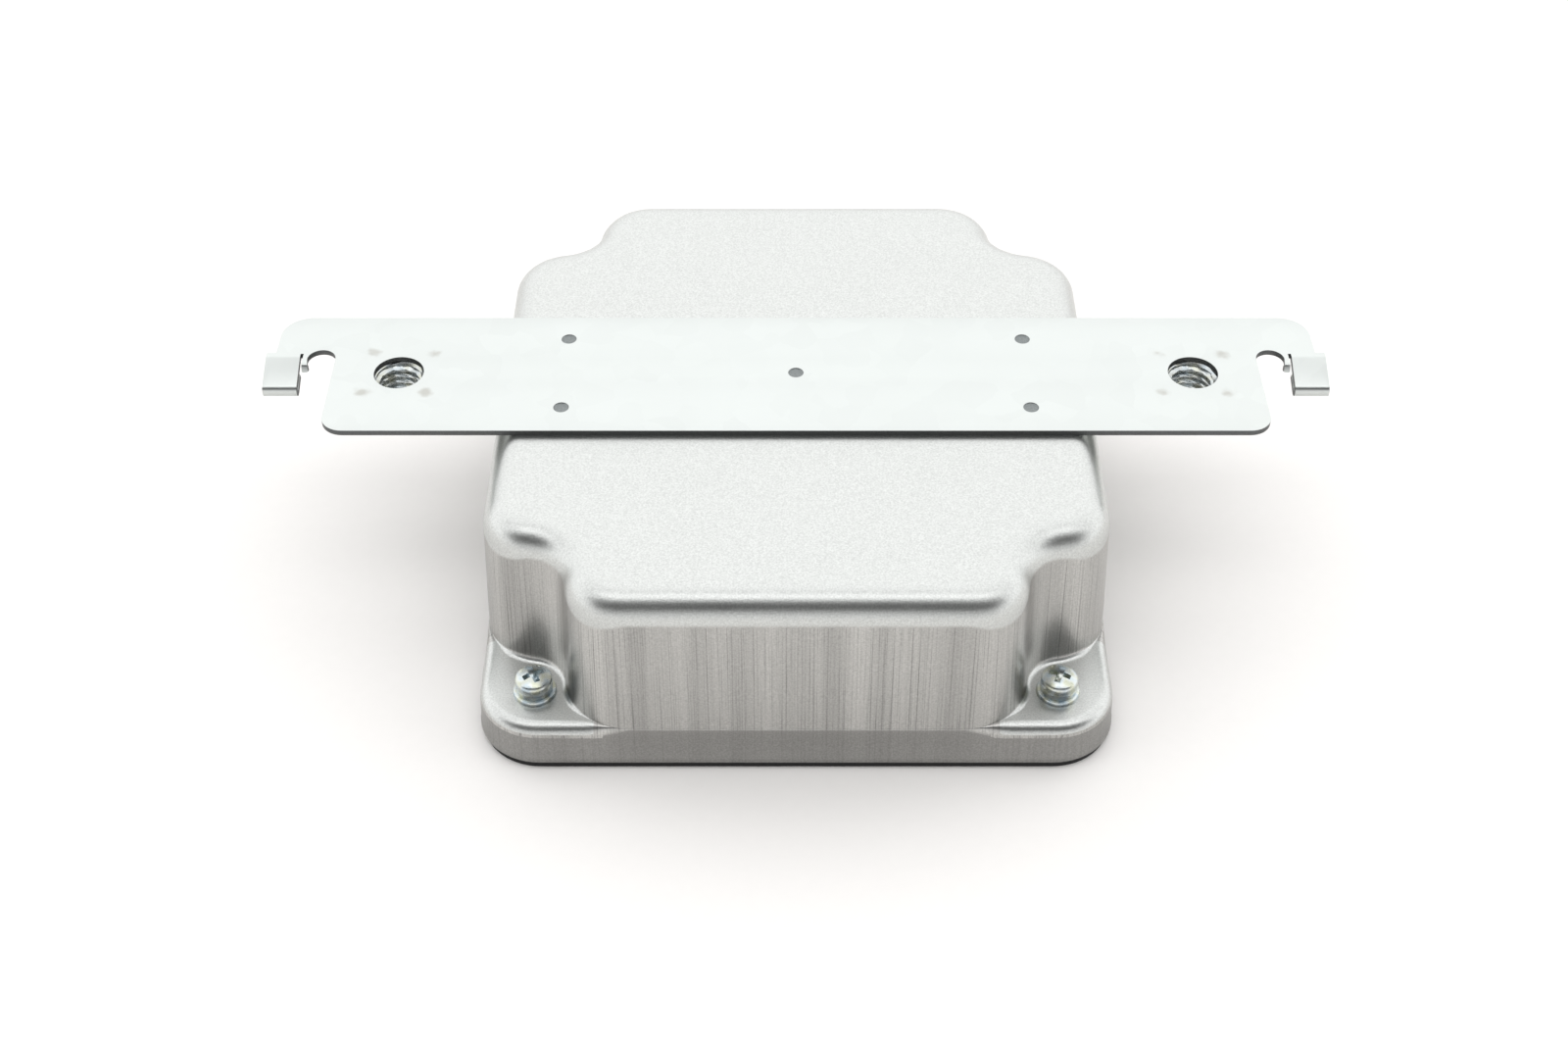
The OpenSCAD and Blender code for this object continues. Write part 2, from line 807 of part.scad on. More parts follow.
module transformer_core() color(ferrite) {
    translate([transformer_at[0], transformer_at[1], core_z]) {
        core_half();
        translate([0, 0, 2 * core_plate_t + core_window_h])
            mirror([0, 0, 1])
                core_half();
    }
}

bobbin_t = 0.8;
bobbin_in_r = core_post_r + 0.2;
bobbin_out_r = core_w / 2 - core_leg - 0.3;

module transformer_bobbin() color("#2d2b29") {
    translate([transformer_at[0], transformer_at[1], 0]) {
        difference() {
            union() {
                translate([0, 0, window_z + 0.1])
                    cylinder(r = bobbin_in_r + bobbin_t, h = core_window_h - 0.2);
                translate([0, 0, window_z + 0.1])
                    box([2 * bobbin_out_r, 2 * rail_y + 4, bobbin_t]);
                translate([0, 0, window_z + core_window_h - 0.1 - bobbin_t])
                    cylinder(r = bobbin_out_r, h = bobbin_t);
                for (s = [-1, 1])
                    translate([0, s * rail_y, board_top])
                        box([28, 3.6, window_z - board_top + 0.1 + bobbin_t]);
            }
            translate([0, 0, window_z - 1])
                cylinder(r = bobbin_in_r, h = core_window_h + 2);
        }
        for (i = [-2.5 : 2.5], s = [-1, 1])
            translate([5 * i, s * rail_y, board_z - 0.8])
                cylinder(r = lead_r, h = board_t + 0.8 + eps, $fn = 24);
    }
}

module transformer_windings() color(copper) {
    z = window_z + 0.1 + bobbin_t + 0.1;
    h = core_window_h - 0.4 - 2 * bobbin_t;
    inner = bobbin_in_r + bobbin_t + 0.05;
    outer = bobbin_out_r - 0.3;
    middle = (inner + outer) / 2;
    translate([transformer_at[0], transformer_at[1], z]) {
        ring(middle - 0.1, inner, h);
        ring(outer, middle + 0.1, h);
    }
}

// Ring core standing flat: centre, radii and height
choke_out = 10.5;
choke_in = 6;
choke_h = 9;
wire = 1.1;
choke_z = board_top + wire + 0.3;
filter_out = 6.5;
filter_in = 3.6;
filter_h = 7;
filter_wire = 0.7;
filter_z = board_top + filter_wire + 0.3;

// Sleeve of wire round a stretch of a ring core
module ring_winding(r_out, r_in, h, w, angle) {
    gap = 0.1;
    rotate_extrude(angle = angle)
        difference() {
            translate([r_in - w - gap, -w - gap])
                square([r_out - r_in + 2 * (w + gap), h + 2 * (w + gap)]);
            translate([r_in - gap, -gap])
                square([r_out - r_in + 2 * gap, h + 2 * gap]);
        }
}

module choke_core() color("#d8c84a") {
    translate([choke_at[0], choke_at[1], choke_z])
        ring(choke_out, choke_in, choke_h);
}

module choke_winding() color(copper) {
    translate([choke_at[0], choke_at[1], choke_z])
        rotate([0, 0, 105])
            ring_winding(choke_out, choke_in, choke_h, wire, 330);
    for (s = [-1, 1]) {
        solder_pin([choke_at[0] + 6 * s, choke_at[1] + 12.7, lead_r], choke_z + 2);
        translate([choke_at[0] + 6 * s, choke_at[1] + 12.7, choke_z + 2])
            rotate([90, 0, 0])
                cylinder(r = lead_r, h = 3.2, $fn = 24);
    }
}

module filter_choke_core() color(ferrite) {
    translate([filter_at[0], filter_at[1], filter_z])
        ring(filter_out, filter_in, filter_h);
}

module filter_choke_windings() color(copper) {
    for (t = [-1, 1])
        translate([filter_at[0], filter_at[1], filter_z])
            rotate([0, 0, t * 90 - 70])
                ring_winding(filter_out, filter_in, filter_h, filter_wire, 140);
    for (s = [-1, 1], t = [-1, 1]) {
        pin = [filter_at[0] + 3 * s, filter_at[1] + 8.3 * t, lead_r];
        solder_pin(pin, filter_z + 2);
        translate([pin[0], pin[1] - (t < 0 ? 0.4 : 2.1), filter_z + 2])
            rotate([-90, 0, 0])
                cylinder(r = lead_r, h = 2.5, $fn = 24);
    }
}

module input_capacitors() color("#1d2a52") {
    for (y = cap_y)
        translate([cap_x, y, 0]) {
            translate([0, 0, board_top])
                rotate_extrude()
                    difference() {
                        square([cap_r, cap_h]);
                        translate([cap_r, 2.5])
                            circle(r = 0.6);
                    }
            for (s = [-1, 1])
                translate([0, 2.5 * s, board_z - 0.8])
                    cylinder(r = lead_r, h = board_t + 0.8 + eps, $fn = 24);
        }
}

module film_capacitors() color("#c8b832") {
    for (f = film_at) {
        translate([f[0], f[1], board_top])
            box(film_size);
        for (s = [-1, 1])
            solder_pin([f[0], f[1] + 7.5 * s, lead_r], board_top + eps);
    }
}

module grid_relay() color("#20211f") {
    translate([relay_at[0], relay_at[1], board_top])
        box(relay_size);
    for (s = [-1, 1], t = [-1, 1])
        solder_pin([relay_at[0] + 7.5 * s, relay_at[1] + 5 * t, lead_r], board_top + eps);
}

fuse_r = 2.6;
fuse_z = board_top + fuse_r + 1.2;

module line_fuse() color("#dfe6e6") {
    translate([fuse_at[0], fuse_at[1] - fuse_len / 2, fuse_z])
        rotate([-90, 0, 0])
            union() {
                cylinder(r = fuse_r - 0.25, h = fuse_len);
                cylinder(r = fuse_r, h = 5.5);
                translate([0, 0, fuse_len - 5.5])
                    cylinder(r = fuse_r, h = 5.5);
            }
}

module fuse_clips() color(zinc) {
    t = 0.4;
    for (s = [-1, 1]) {
        translate([fuse_at[0], fuse_at[1] + 7 * s + 2, fuse_z])
            rotate([90, 0, 0])
                linear_extrude(height = 4)
                    union() {
                        difference() {
                            circle(r = fuse_r + 0.05 + t);
                            circle(r = fuse_r + 0.05);
                            translate([-2, 0])
                                square([4, 5]);
                        }
                        translate([-1.5, board_top - fuse_z])
                            square([3, t]);
                        translate([-0.2, board_top - fuse_z])
                            square([0.4, fuse_z - board_top - fuse_r - 0.1]);
                    }
        solder_pin([fuse_at[0], fuse_at[1] + 7 * s, lead_r], board_top + eps);
    }
}

module surge_varistor() color("#2c4f8f") {
    r = 6;
    translate([varistor_at[0], varistor_at[1] + 2, board_top + 1.5 + r])
        rotate([90, 0, 0])
            cylinder(r = r, h = 4);
    for (s = [-1, 1])
        solder_pin([varistor_at[0] + 3.75 * s, varistor_at[1], lead_r], board_top + 4.5);
}

header_h = 2.5;

module control_header() color(black) {
    translate([control_at[0], control_at[1], board_top])
        box([26, 2.5, header_h]);
    for (i = [-4.5 : 4.5])
        solder_pin([control_at[0] + 2.54 * i, control_at[1], lead_r], board_top + eps);
}

control_t = 1.2;

module control_board() color("#2f6b3a") {
    translate([control_at[0], control_at[1], board_top + header_h])
        box([control_len, control_t, 17]);
}

module control_chips() color(black) {
    y = control_at[1] + control_t / 2;
    z = board_top + header_h;
    translate([control_at[0] - 12, y, z + 4])
        cube([10, 1.4, 10]);
    translate([control_at[0] + 3, y, z + 3])
        cube([5, 1.5, 4]);
    translate([control_at[0] + 3, y, z + 10])
        cube([6, 1.5, 5]);
    translate([control_at[0] + 12, y, z + 5])
        cube([5, 3, 4]);
}

// ---- Sockets ------------------------------------------------------------

thread_len = 7;
socket_seal_t = 0.8;
dc_contact_r = 1.6;
ac_contact_r = 0.9;
nut_t = 2.5;

// Socket body on the wall: flange and barrel outside, threaded neck inside
module socket_shell(barrel_r, barrel_len, flange_r, thread_r) {
    translate([0, 0, socket_seal_t])
        cylinder(r = flange_r, h = flange_t);
    translate([0, 0, socket_seal_t])
        cylinder(r = barrel_r, h = flange_t + barrel_len);
    translate([0, 0, -can_t - thread_len])
        cylinder(r = thread_r, h = can_t + thread_len + socket_seal_t + eps);
}

dc_end = socket_seal_t + flange_t + dc_barrel_len;
ac_end = socket_seal_t + flange_t + ac_barrel_len;
dc_floor = dc_end - dc_mouth_depth;
ac_floor = ac_end - ac_mouth_depth;

module dc_socket_bodies() color(black) {
    for (x = dc_socket_x)
        on_rear_wall(x)
            difference() {
                socket_shell(dc_barrel_r, dc_barrel_len, dc_flange_r, dc_thread_r);
                translate([0, 0, dc_floor])
                    cylinder(r = dc_mouth_r, h = 20);
                translate([0, 0, -20])
                    cylinder(r = dc_contact_r + thread_gap, h = 30);
            }
}

// Contact tube on the socket's axis, with a tail that turns down into the board
module dc_contacts() color("#caa23a") {
    for (x = dc_socket_x) {
        on_rear_wall(x)
            difference() {
                translate([0, 0, -can_t - thread_len - 1])
                    cylinder(r = dc_contact_r, h = dc_floor + can_t + thread_len + 1);
                translate([0, 0, dc_floor - 5])
                    cylinder(r = 1, h = 10);
            }
        translate([x, dc_tail_y, board_z - 0.8])
            cylinder(r = tail_r, h = socket_z - board_z + 0.8 - 0.6);
    }
}

module ac_socket_body() color(black) {
    on_rear_wall(ac_socket_x)
        difference() {
            socket_shell(ac_barrel_r, ac_barrel_len, ac_flange_r, ac_thread_r);
            translate([0, 0, ac_floor])
                cylinder(r = ac_mouth_r, h = 20);
            for (a = [30, 150, 270])
                rotate([0, 0, a])
                    translate([ac_pin_ring, 0, -20])
                        cylinder(r = ac_contact_r + thread_gap, h = 40);
        }
}

module ac_contacts() color("#caa23a") {
    for (a = [30, 150, 270]) {
        top_pin = a == 270;
        tail_y = top_pin ? ac_tail_top_y : ac_tail_low_y;
        z = socket_z - ac_pin_ring * sin(a) * cos(draft_angle);
        reach = can_d / 2 - lean(socket_z) - tail_y;
        on_rear_wall(ac_socket_x)
            rotate([0, 0, a])
                translate([ac_pin_ring, 0, -reach - 0.3])
                    cylinder(r = ac_contact_r, h = reach + 0.3 + ac_floor + 6.5);
        translate([ac_socket_x + ac_pin_ring * cos(a), tail_y, board_z - 0.8])
            cylinder(r = tail_r, h = z - board_z + 0.8 - 0.6);
    }
}

module socket_seals() color(black) {
    for (x = dc_socket_x)
        on_rear_wall(x)
            ring(dc_flange_r - 0.4, dc_thread_r + clearance, socket_seal_t);
    on_rear_wall(ac_socket_x)
        ring(ac_flange_r - 0.4, ac_thread_r + clearance, socket_seal_t);
}

module socket_nuts() color(zinc) {
    for (x = dc_socket_x)
        on_rear_wall(x)
            translate([0, 0, -can_t - nut_t])
                difference() {
                    hexagon(2 * dc_thread_r + 3, nut_t);
                    translate([0, 0, -1])
                        cylinder(r = dc_thread_r + thread_gap, h = nut_t + 2);
                }
    on_rear_wall(ac_socket_x)
        translate([0, 0, -can_t - nut_t])
            difference() {
                hexagon(2 * ac_thread_r + 4, nut_t);
                translate([0, 0, -1])
                    cylinder(r = ac_thread_r + thread_gap, h = nut_t + 2);
            }
}

cover();
base_plate();
base_seal();
corner_posts();
cover_screws();
spring_washers();
flat_washers();
mounting_bracket();
weld_nuts();
board_standoffs();
circuit_board();
board_screws();
heat_spreader();
spreader_screws();
power_transistors();
transistor_clips();
insulating_pad();
transformer_core();
transformer_bobbin();
transformer_windings();
choke_core();
choke_winding();
filter_choke_core();
filter_choke_windings();
input_capacitors();
film_capacitors();
grid_relay();
line_fuse();
fuse_clips();
surge_varistor();
control_board();
control_header();
control_chips();
dc_socket_bodies();
dc_contacts();
ac_socket_body();
ac_contacts();
socket_seals();
socket_nuts();
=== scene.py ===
"""Looks of a micro inverter in a drawn steel can that hangs from a welded bracket.

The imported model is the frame, in metres: X along the bracket, +Y out of the rear wall with
the sockets, +Z up, with the origin at the centre of the base plate's underside. Sizes in the
classes below are in millimetres and become metres when a mesh is built.
"""

import logging
import math
from dataclasses import dataclass, field
from enum import Enum

import bmesh
import bpy
import numpy as np
from mathutils import Matrix, Vector


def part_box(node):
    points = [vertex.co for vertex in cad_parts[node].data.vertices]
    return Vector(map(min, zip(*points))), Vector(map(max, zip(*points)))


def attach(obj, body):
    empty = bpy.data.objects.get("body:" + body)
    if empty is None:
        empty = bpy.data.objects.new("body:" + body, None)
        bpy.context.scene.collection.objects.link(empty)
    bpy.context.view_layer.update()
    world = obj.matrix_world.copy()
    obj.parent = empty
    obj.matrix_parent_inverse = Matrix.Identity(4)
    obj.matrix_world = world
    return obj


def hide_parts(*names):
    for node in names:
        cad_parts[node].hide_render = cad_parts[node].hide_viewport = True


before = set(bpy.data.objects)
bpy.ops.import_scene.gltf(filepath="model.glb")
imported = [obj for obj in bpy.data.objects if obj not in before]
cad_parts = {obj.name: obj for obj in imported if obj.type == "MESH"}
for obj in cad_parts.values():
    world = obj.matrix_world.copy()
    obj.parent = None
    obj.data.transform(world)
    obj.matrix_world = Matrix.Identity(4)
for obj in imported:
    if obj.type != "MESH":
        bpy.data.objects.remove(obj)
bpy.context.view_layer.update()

LOG = logging.getLogger("micro_inverter")
MM = 0.001
BODY = "root"
SHARP = math.radians(30)
ROUND_STEPS = 48
# Most of a noise's values lie between these two
NOISE = (0.3, 0.7)
# The bracket's material indexes past the sheet's own
PIT, SHEARED_SHADE = 1, 2


# ---- Node and colour helpers ------------------------------------------------


def linear(code: str) -> tuple[float, float, float, float]:
    """Turns an sRGB colour into the linear values that nodes take.

    Args:
        code: the colour as "#rrggbb".

    Returns:
        Linear red, green, blue and an alpha of 1.
    """
    parts = [int(code[i : i + 2], 16) / 255 for i in (1, 3, 5)]
    low = [p / 12.92 if p <= 0.04045 else ((p + 0.055) / 1.055) ** 2.4 for p in parts]
    return (*low, 1.0)


def add(tree: bpy.types.NodeTree, kind: str, inputs: dict | tuple = (), **settings) -> bpy.types.Node:
    """Adds a node with its settings and links.

    Args:
        tree: the node tree that gets the node.
        kind: Blender's name for the type of node.
        inputs: the value of each input, or the socket or node that feeds it, by name or place,
            or in the inputs' own order.
        settings: the node's own properties.

    Returns:
        The new node.
    """
    node = tree.nodes.new(kind)
    for name, value in settings.items():
        setattr(node, name, value)
    for key, value in inputs.items() if isinstance(inputs, dict) else enumerate(inputs):
        if isinstance(value, bpy.types.Node):
            value = value.outputs[0]
        if isinstance(value, bpy.types.NodeSocket):
            tree.links.new(value, node.inputs[key])
        else:
            node.inputs[key].default_value = value
    return node


# ---- Finishes ---------------------------------------------------------------


@dataclass(frozen=True)
class Finish:
    """A plain solid colour with a fine grain: the base of every finish.

    The grain is noise of a real size that moves the colour, the roughness and the height.
    """

    name: str
    colour: str
    roughness: float
    metallic: float = 0.0
    ior: float = 1.5
    coat: float = 0.0
    grain: float = 0.4
    grain_depth: float = 0.004
    shade: float = 0.06
    gloss_change: float = 0.05

    def material(self) -> bpy.types.Material:
        """Makes the finish's material when it is first asked for.

        Returns:
            The material.
        """
        found = bpy.data.materials.get(self.name)
        if found:
            return found
        made = bpy.data.materials.new(self.name)
        made.use_nodes = True
        made.node_tree.nodes.clear()
        self.build(made.node_tree)
        made.diffuse_color = linear(self.colour)
        return made

    def surface(
        self,
        tree: bpy.types.NodeTree,
        colour: bpy.types.NodeSocket | tuple[float, ...],
        tone: bpy.types.Node | tuple[float, ...],
        polish: bpy.types.Node,
        height: bpy.types.Node,
        depth: float = 0.0,
    ) -> None:
        """Adds the shader and the output, with the colour, roughness and bump that feed it.

        Args:
            tree: the material's tree.
            colour: the colour, or what gives it.
            tone: what darkens the colour.
            polish: the noise that moves the roughness up and down.
            height: what gives the bump.
            depth: the bump's depth in millimetres, if it isn't the grain's.
        """
        shaded = add(
            tree, "ShaderNodeMix", {0: 1.0, 6: colour, 7: tone}, data_type="RGBA", blend_type="MULTIPLY"
        )
        low, high = self.roughness - self.gloss_change, self.roughness + self.gloss_change
        gloss = add(tree, "ShaderNodeMapRange", (polish, *NOISE, low, high))
        depth = (depth or self.grain_depth) * MM
        bump = add(tree, "ShaderNodeBump", {"Height": height, "Distance": depth})
        inputs = {"Metallic": self.metallic, "Coat Weight": self.coat}
        inputs |= {"Base Color": shaded.outputs[2], "Roughness": gloss, "Normal": bump}
        if self.metallic < 1:
            inputs["IOR"] = self.ior
        skin = add(tree, "ShaderNodeBsdfPrincipled", inputs)
        add(tree, "ShaderNodeOutputMaterial", {"Surface": skin})

    def build(self, tree: bpy.types.NodeTree) -> None:
        """Builds the grain and the shader.

        Args:
            tree: the material's empty tree.
        """
        place = add(tree, "ShaderNodeTexCoord").outputs["Object"]
        noise = add(
            tree, "ShaderNodeTexNoise", {"Vector": place, "Scale": 1 / (self.grain * MM), "Detail": 3}
        )
        tone = add(tree, "ShaderNodeMapRange", (noise, *NOISE, 1 - self.shade, 1.0))
        self.surface(tree, linear(self.colour), tone, noise, noise)


@dataclass(frozen=True)
class DrawnSteel(Finish):
    """Zinc-coated steel sheet, deep drawn.

    The top and the rolled edges keep the satin, granular face of the sheet. The die has
    dragged along the walls, which gives them dull upright score lines and a darker, warmer
    grey. The piece's "draw" map holds the way round the wall and the height above the
    line where the drag begins, both in metres.
    """

    wall_colour: str = "#c2c1be"
    line_width: float = 0.3
    line_length: float = 70.0
    ragged: float = 1.2
    skirt_drop: float = -21.9
    coarse: float = 14.0
    patch: float = 7.0
    score_depth: float = 0.005

    def build(self, tree: bpy.types.NodeTree) -> None:
        """Builds the granular face, the score lines and the border between them.

        Args:
            tree: the material's empty tree.
        """
        place = add(tree, "ShaderNodeTexCoord").outputs["Object"]
        map_node = add(tree, "ShaderNodeUVMap", uv_map="draw")
        split = add(tree, "ShaderNodeSeparateXYZ", (map_node,))
        along, rise = split.outputs[:2]

        # Granular face: two sizes of grain
        fine = add(
            tree, "ShaderNodeTexNoise", {"Vector": place, "Scale": 1 / (self.grain * MM), "Detail": 2}
        )
        coarse = add(
            tree, "ShaderNodeTexNoise", {"Vector": place, "Scale": 1 / (self.coarse * MM), "Detail": 2}
        )

        # Score lines: noise that is narrow round the wall and long up it
        narrow = add(tree, "ShaderNodeMath", (along, 1 / (self.line_width * MM)), operation="MULTIPLY")
        tall = add(tree, "ShaderNodeMath", (rise, 1 / (self.line_length * MM)), operation="MULTIPLY")
        stretched = add(tree, "ShaderNodeCombineXYZ", (narrow, tall))
        lines = add(
            tree,
            "ShaderNodeTexNoise",
            {"Vector": stretched, "Scale": 1.0, "Detail": 4, "Roughness": 0.75},
            noise_dimensions="2D",
        )
        # Broad changes of the drag from place to place round the wall
        wide = add(tree, "ShaderNodeMath", (along, 1 / (self.patch * MM)), operation="MULTIPLY")
        patches = add(
            tree, "ShaderNodeTexNoise", {"W": wide, "Scale": 1.0, "Detail": 2}, noise_dimensions="1D"
        )

        # Border: the lines start at slightly different heights
        shift = add(
            tree, "ShaderNodeMath", (lines, self.ragged * MM, rise), operation="MULTIPLY_ADD"
        )
        drawn = add(
            tree,
            "ShaderNodeMapRange",
            (shift, 0.9 * MM, 0.1 * MM, 0.0, 1.0),
            interpolation_type="SMOOTHSTEP",
        )
        # Below the shelves the die's ironing leaves the skirt smoother, with fewer score lines; the same mask
        # darkens the skirt's colour as painted shade for the shadowed floor that it reflects
        ironing_and_skirt_shade = add(
            tree,
            "ShaderNodeMapRange",
            (rise, self.skirt_drop * MM, (self.skirt_drop - 0.5) * MM, 1.0, 0.3),
        )
        # Painted shade: the skirt's colour falls to 0.62 of the wall's below the shelves
        skirt_painted_shade = add(tree, "ShaderNodeMapRange", (ironing_and_skirt_shade, 0.3, 1.0, 0.62, 1.0))
        share = add(tree, "ShaderNodeMath", (drawn, ironing_and_skirt_shade), operation="MULTIPLY")

        dark = add(tree, "ShaderNodeMapRange", (lines, 0.5, 0.7, 1.0, 0.55))
        patch_tone = add(tree, "ShaderNodeMapRange", (patches, *NOISE, 0.8, 1.08))
        line_tone = add(tree, "ShaderNodeMath", (dark, patch_tone), operation="MULTIPLY")
        wall_tone = add(tree, "ShaderNodeMix", {0: share, 2: 1.0, 3: line_tone}, data_type="FLOAT")
        grain_tone = add(tree, "ShaderNodeMapRange", (fine, *NOISE, 1 - self.shade, 1.0))
        both = add(tree, "ShaderNodeMath", (wall_tone, grain_tone), operation="MULTIPLY")
        tone = add(tree, "ShaderNodeMath", (both, skirt_painted_shade), operation="MULTIPLY")
        hue = add(
            tree,
            "ShaderNodeMix",
            {0: drawn, 6: linear(self.colour), 7: linear(self.wall_colour)},
            data_type="RGBA",
        )
        # Height in micrometres of either face, then one bump
        grains = add(tree, "ShaderNodeMath", (fine, self.grain_depth * 1000), operation="MULTIPLY")
        scores = add(tree, "ShaderNodeMath", (lines, self.score_depth * 1000), operation="MULTIPLY")
        height = add(tree, "ShaderNodeMix", {0: share, 2: grains, 3: scores}, data_type="FLOAT")
        self.surface(tree, hue.outputs[2], tone, coarse, height, 0.001)


@dataclass(frozen=True)
class GalvanisedSheet(Finish):
    """Hot-dip galvanised sheet, skin-passed.

    Smooth and bright, with a faint cloudy spangle. The projection welds of the nuts have
    left a small brownish scorch over each corner projection.
    """

    spangle: float = 5.0
    cloud: float = 18.0
    warp: float = 3.0
    scorch_at: tuple[float, float, float] = (66.85, 0.9, 5.3)
    scorch_r: float = 1.5
    scorch_colour: str = "#8f887c"

    def build(self, tree: bpy.types.NodeTree) -> None:
        """Builds the spangle, the rolling marks and the scorch marks.

        Args:
            tree: the material's empty tree.
        """
        place = add(tree, "ShaderNodeTexCoord").outputs["Object"]
        warp = add(tree, "ShaderNodeTexNoise", {"Vector": place, "Scale": 1 / (self.warp * MM), "Detail": 2})
        moved = add(
            tree,
            "ShaderNodeVectorMath",
            (warp.outputs["Color"], (2 * MM,) * 3, place),
            operation="MULTIPLY_ADD",
        )
        cells = add(tree, "ShaderNodeTexVoronoi", {"Vector": moved, "Scale": 1 / (self.spangle * MM)})
        cell_tone = add(tree, "ShaderNodeSeparateColor", (cells.outputs["Color"],))
        cloud = add(
            tree, "ShaderNodeTexNoise", {"Vector": place, "Scale": 1 / (self.cloud * MM), "Detail": 3}
        )
        grain = add(
            tree, "ShaderNodeTexNoise", {"Vector": place, "Scale": 1 / (self.grain * MM), "Detail": 2}
        )
        mixed = add(tree, "ShaderNodeMix", {0: 0.65, 2: cell_tone, 3: cloud}, data_type="FLOAT")
        tone = add(tree, "ShaderNodeMapRange", (mixed, 0.25, 0.75, 1 - self.shade, 1.0))

        # Distance to the nearest of the eight scorch marks, by folding X and Y onto one
        centre_x, centre_y, apart = (v * MM for v in self.scorch_at)
        split = add(tree, "ShaderNodeSeparateXYZ", (place,))
        folded = []
        for axis, steps in ((0, (0.0, centre_x, apart)), (1, (centre_y, apart))):
            value = split.outputs[axis]
            for step in steps[:-1]:
                moved_by = add(tree, "ShaderNodeMath", (value, step), operation="SUBTRACT")
                value = add(tree, "ShaderNodeMath", (moved_by,), operation="ABSOLUTE")
            folded.append(add(tree, "ShaderNodeMath", (value, steps[-1]), operation="SUBTRACT"))
        away = add(tree, "ShaderNodeCombineXYZ", (folded[0], folded[1]))
        far = add(tree, "ShaderNodeVectorMath", (away,), operation="LENGTH")
        rough_far = add(
            tree, "ShaderNodeMath", (warp, 4.0 * MM, far.outputs["Value"]), operation="MULTIPLY_ADD"
        )
        scorch = add(
            tree,
            "ShaderNodeMapRange",
            (rough_far, (self.scorch_r + 2.0) * MM, 1.9 * MM, 0.0, 0.45),
            interpolation_type="SMOOTHSTEP",
        )
        hue = add(
            tree,
            "ShaderNodeMix",
            {0: scorch, 6: linear(self.colour), 7: linear(self.scorch_colour)},
            data_type="RGBA",
        )
        self.surface(tree, hue.outputs[2], tone, mixed, grain)


@dataclass(frozen=True)
class PassivatedZinc(Finish):
    """Bright zinc plating with a clear passivation film.

    Almost mirror bright, with the film's faint drift from blue to yellow-green.
    """

    tints: tuple[str, str, str] = ("#b9c6cd", "#cfd4d2", "#c6c9b8")
    drift: float = 1.6

    def build(self, tree: bpy.types.NodeTree) -> None:
        """Builds the tint drift and the polish marks.

        Args:
            tree: the material's empty tree.
        """
        place = add(tree, "ShaderNodeTexCoord").outputs["Object"]
        drift = add(
            tree, "ShaderNodeTexNoise", {"Vector": place, "Scale": 1 / (self.drift * MM), "Detail": 1}
        )
        ramp = add(tree, "ShaderNodeValToRGB", (drift,))
        stops = ramp.color_ramp.elements
        stops[0].position, stops[1].position = 0.35, 0.65
        middle = stops.new(0.5)
        for stop, tint in zip((stops[0], middle, stops[2]), self.tints, strict=True):
            stop.color = linear(tint)
        noise = add(
            tree, "ShaderNodeTexNoise", {"Vector": place, "Scale": 1 / (self.grain * MM), "Detail": 3}
        )
        self.surface(tree, ramp.outputs[0], (1.0,) * 4, noise, noise)


CAN_STEEL = DrawnSteel(
    "zinc_coated_drawn_steel", "#d0d2d0", 0.32, metallic=1.0, grain=0.28, grain_depth=0.018, shade=0.22,
    gloss_change=0.015,
)
BRACKET_STEEL = GalvanisedSheet(
    "galvanised_sheet", "#cdd1cf", 0.3, metallic=1.0, grain=0.25, grain_depth=0.001, shade=0.05,
    gloss_change=0.02,
)
# Sheared through the zinc: bare, dull steel, darkened further as painted shade along the sheet's cut edges
SHEARED_EDGE_SHADE = Finish(
    "sheared_steel_edge", "#6e7070", 0.5, metallic=1.0, grain=0.15, grain_depth=0.01, shade=0.35
)
# Spot-weld pits: the coating has burnt to a dull grey
WELD_PIT = Finish("burnt_spot_weld", "#8f9494", 0.5, metallic=1.0, grain=0.3, grain_depth=0.006, shade=0.3)
BRIGHT_ZINC = PassivatedZinc(
    "passivated_bright_zinc", "#cfd4d2", 0.3, metallic=1.0, grain=0.5, grain_depth=0.002
)
PLAIN_ZINC = PassivatedZinc(
    "plain_zinc_plating", "#dfe4e2", 0.28, metallic=1.0, grain=0.4, grain_depth=0.002,
    tints=("#bcc4c8", "#cbcfce", "#c6c8be"),
)
# Anodised sheet: dense black with a soft, even sheen
BLACK_ANODISED = Finish("black_anodised_aluminium", "#101112", 0.6, ior=1.45, grain=0.5, shade=0.15)
# Cellular rubber: matt with fine pores
SEAL_RUBBER = Finish("epdm_seal_rubber", "#242424", 0.8, ior=1.52, grain=0.6, grain_depth=0.02, shade=0.2)
# Glass-filled nylon with a spark-eroded mould texture
BLACK_NYLON = Finish("moulded_black_nylon", "#1f2022", 0.46, ior=1.53, grain=0.35, grain_depth=0.012)
# Epoxy glass laminate under a glossy green solder mask
SOLDER_MASK = Finish("green_solder_mask", "#1f5a34", 0.3, ior=1.55, coat=0.3, grain=0.8, grain_depth=0.003)
# Extruded aluminium, milled on its ends
EXTRUDED_ALUMINIUM = Finish(
    "extruded_aluminium", "#cfd2d3", 0.32, metallic=1.0, grain=0.6, grain_depth=0.003, shade=0.1
)
# Sintered ferrite: dark, dry and slightly porous
FERRITE = Finish("sintered_ferrite", "#3d3e40", 0.55, ior=2.0, grain=0.3, grain_depth=0.01, shade=0.2)
# Copper under clear enamel, which makes it deeper and redder
ENAMELLED_COPPER = Finish(
    "enamelled_copper_wire", "#b4622f", 0.25, metallic=1.0, coat=0.6, grain=1.2, grain_depth=0.006, shade=0.25
)
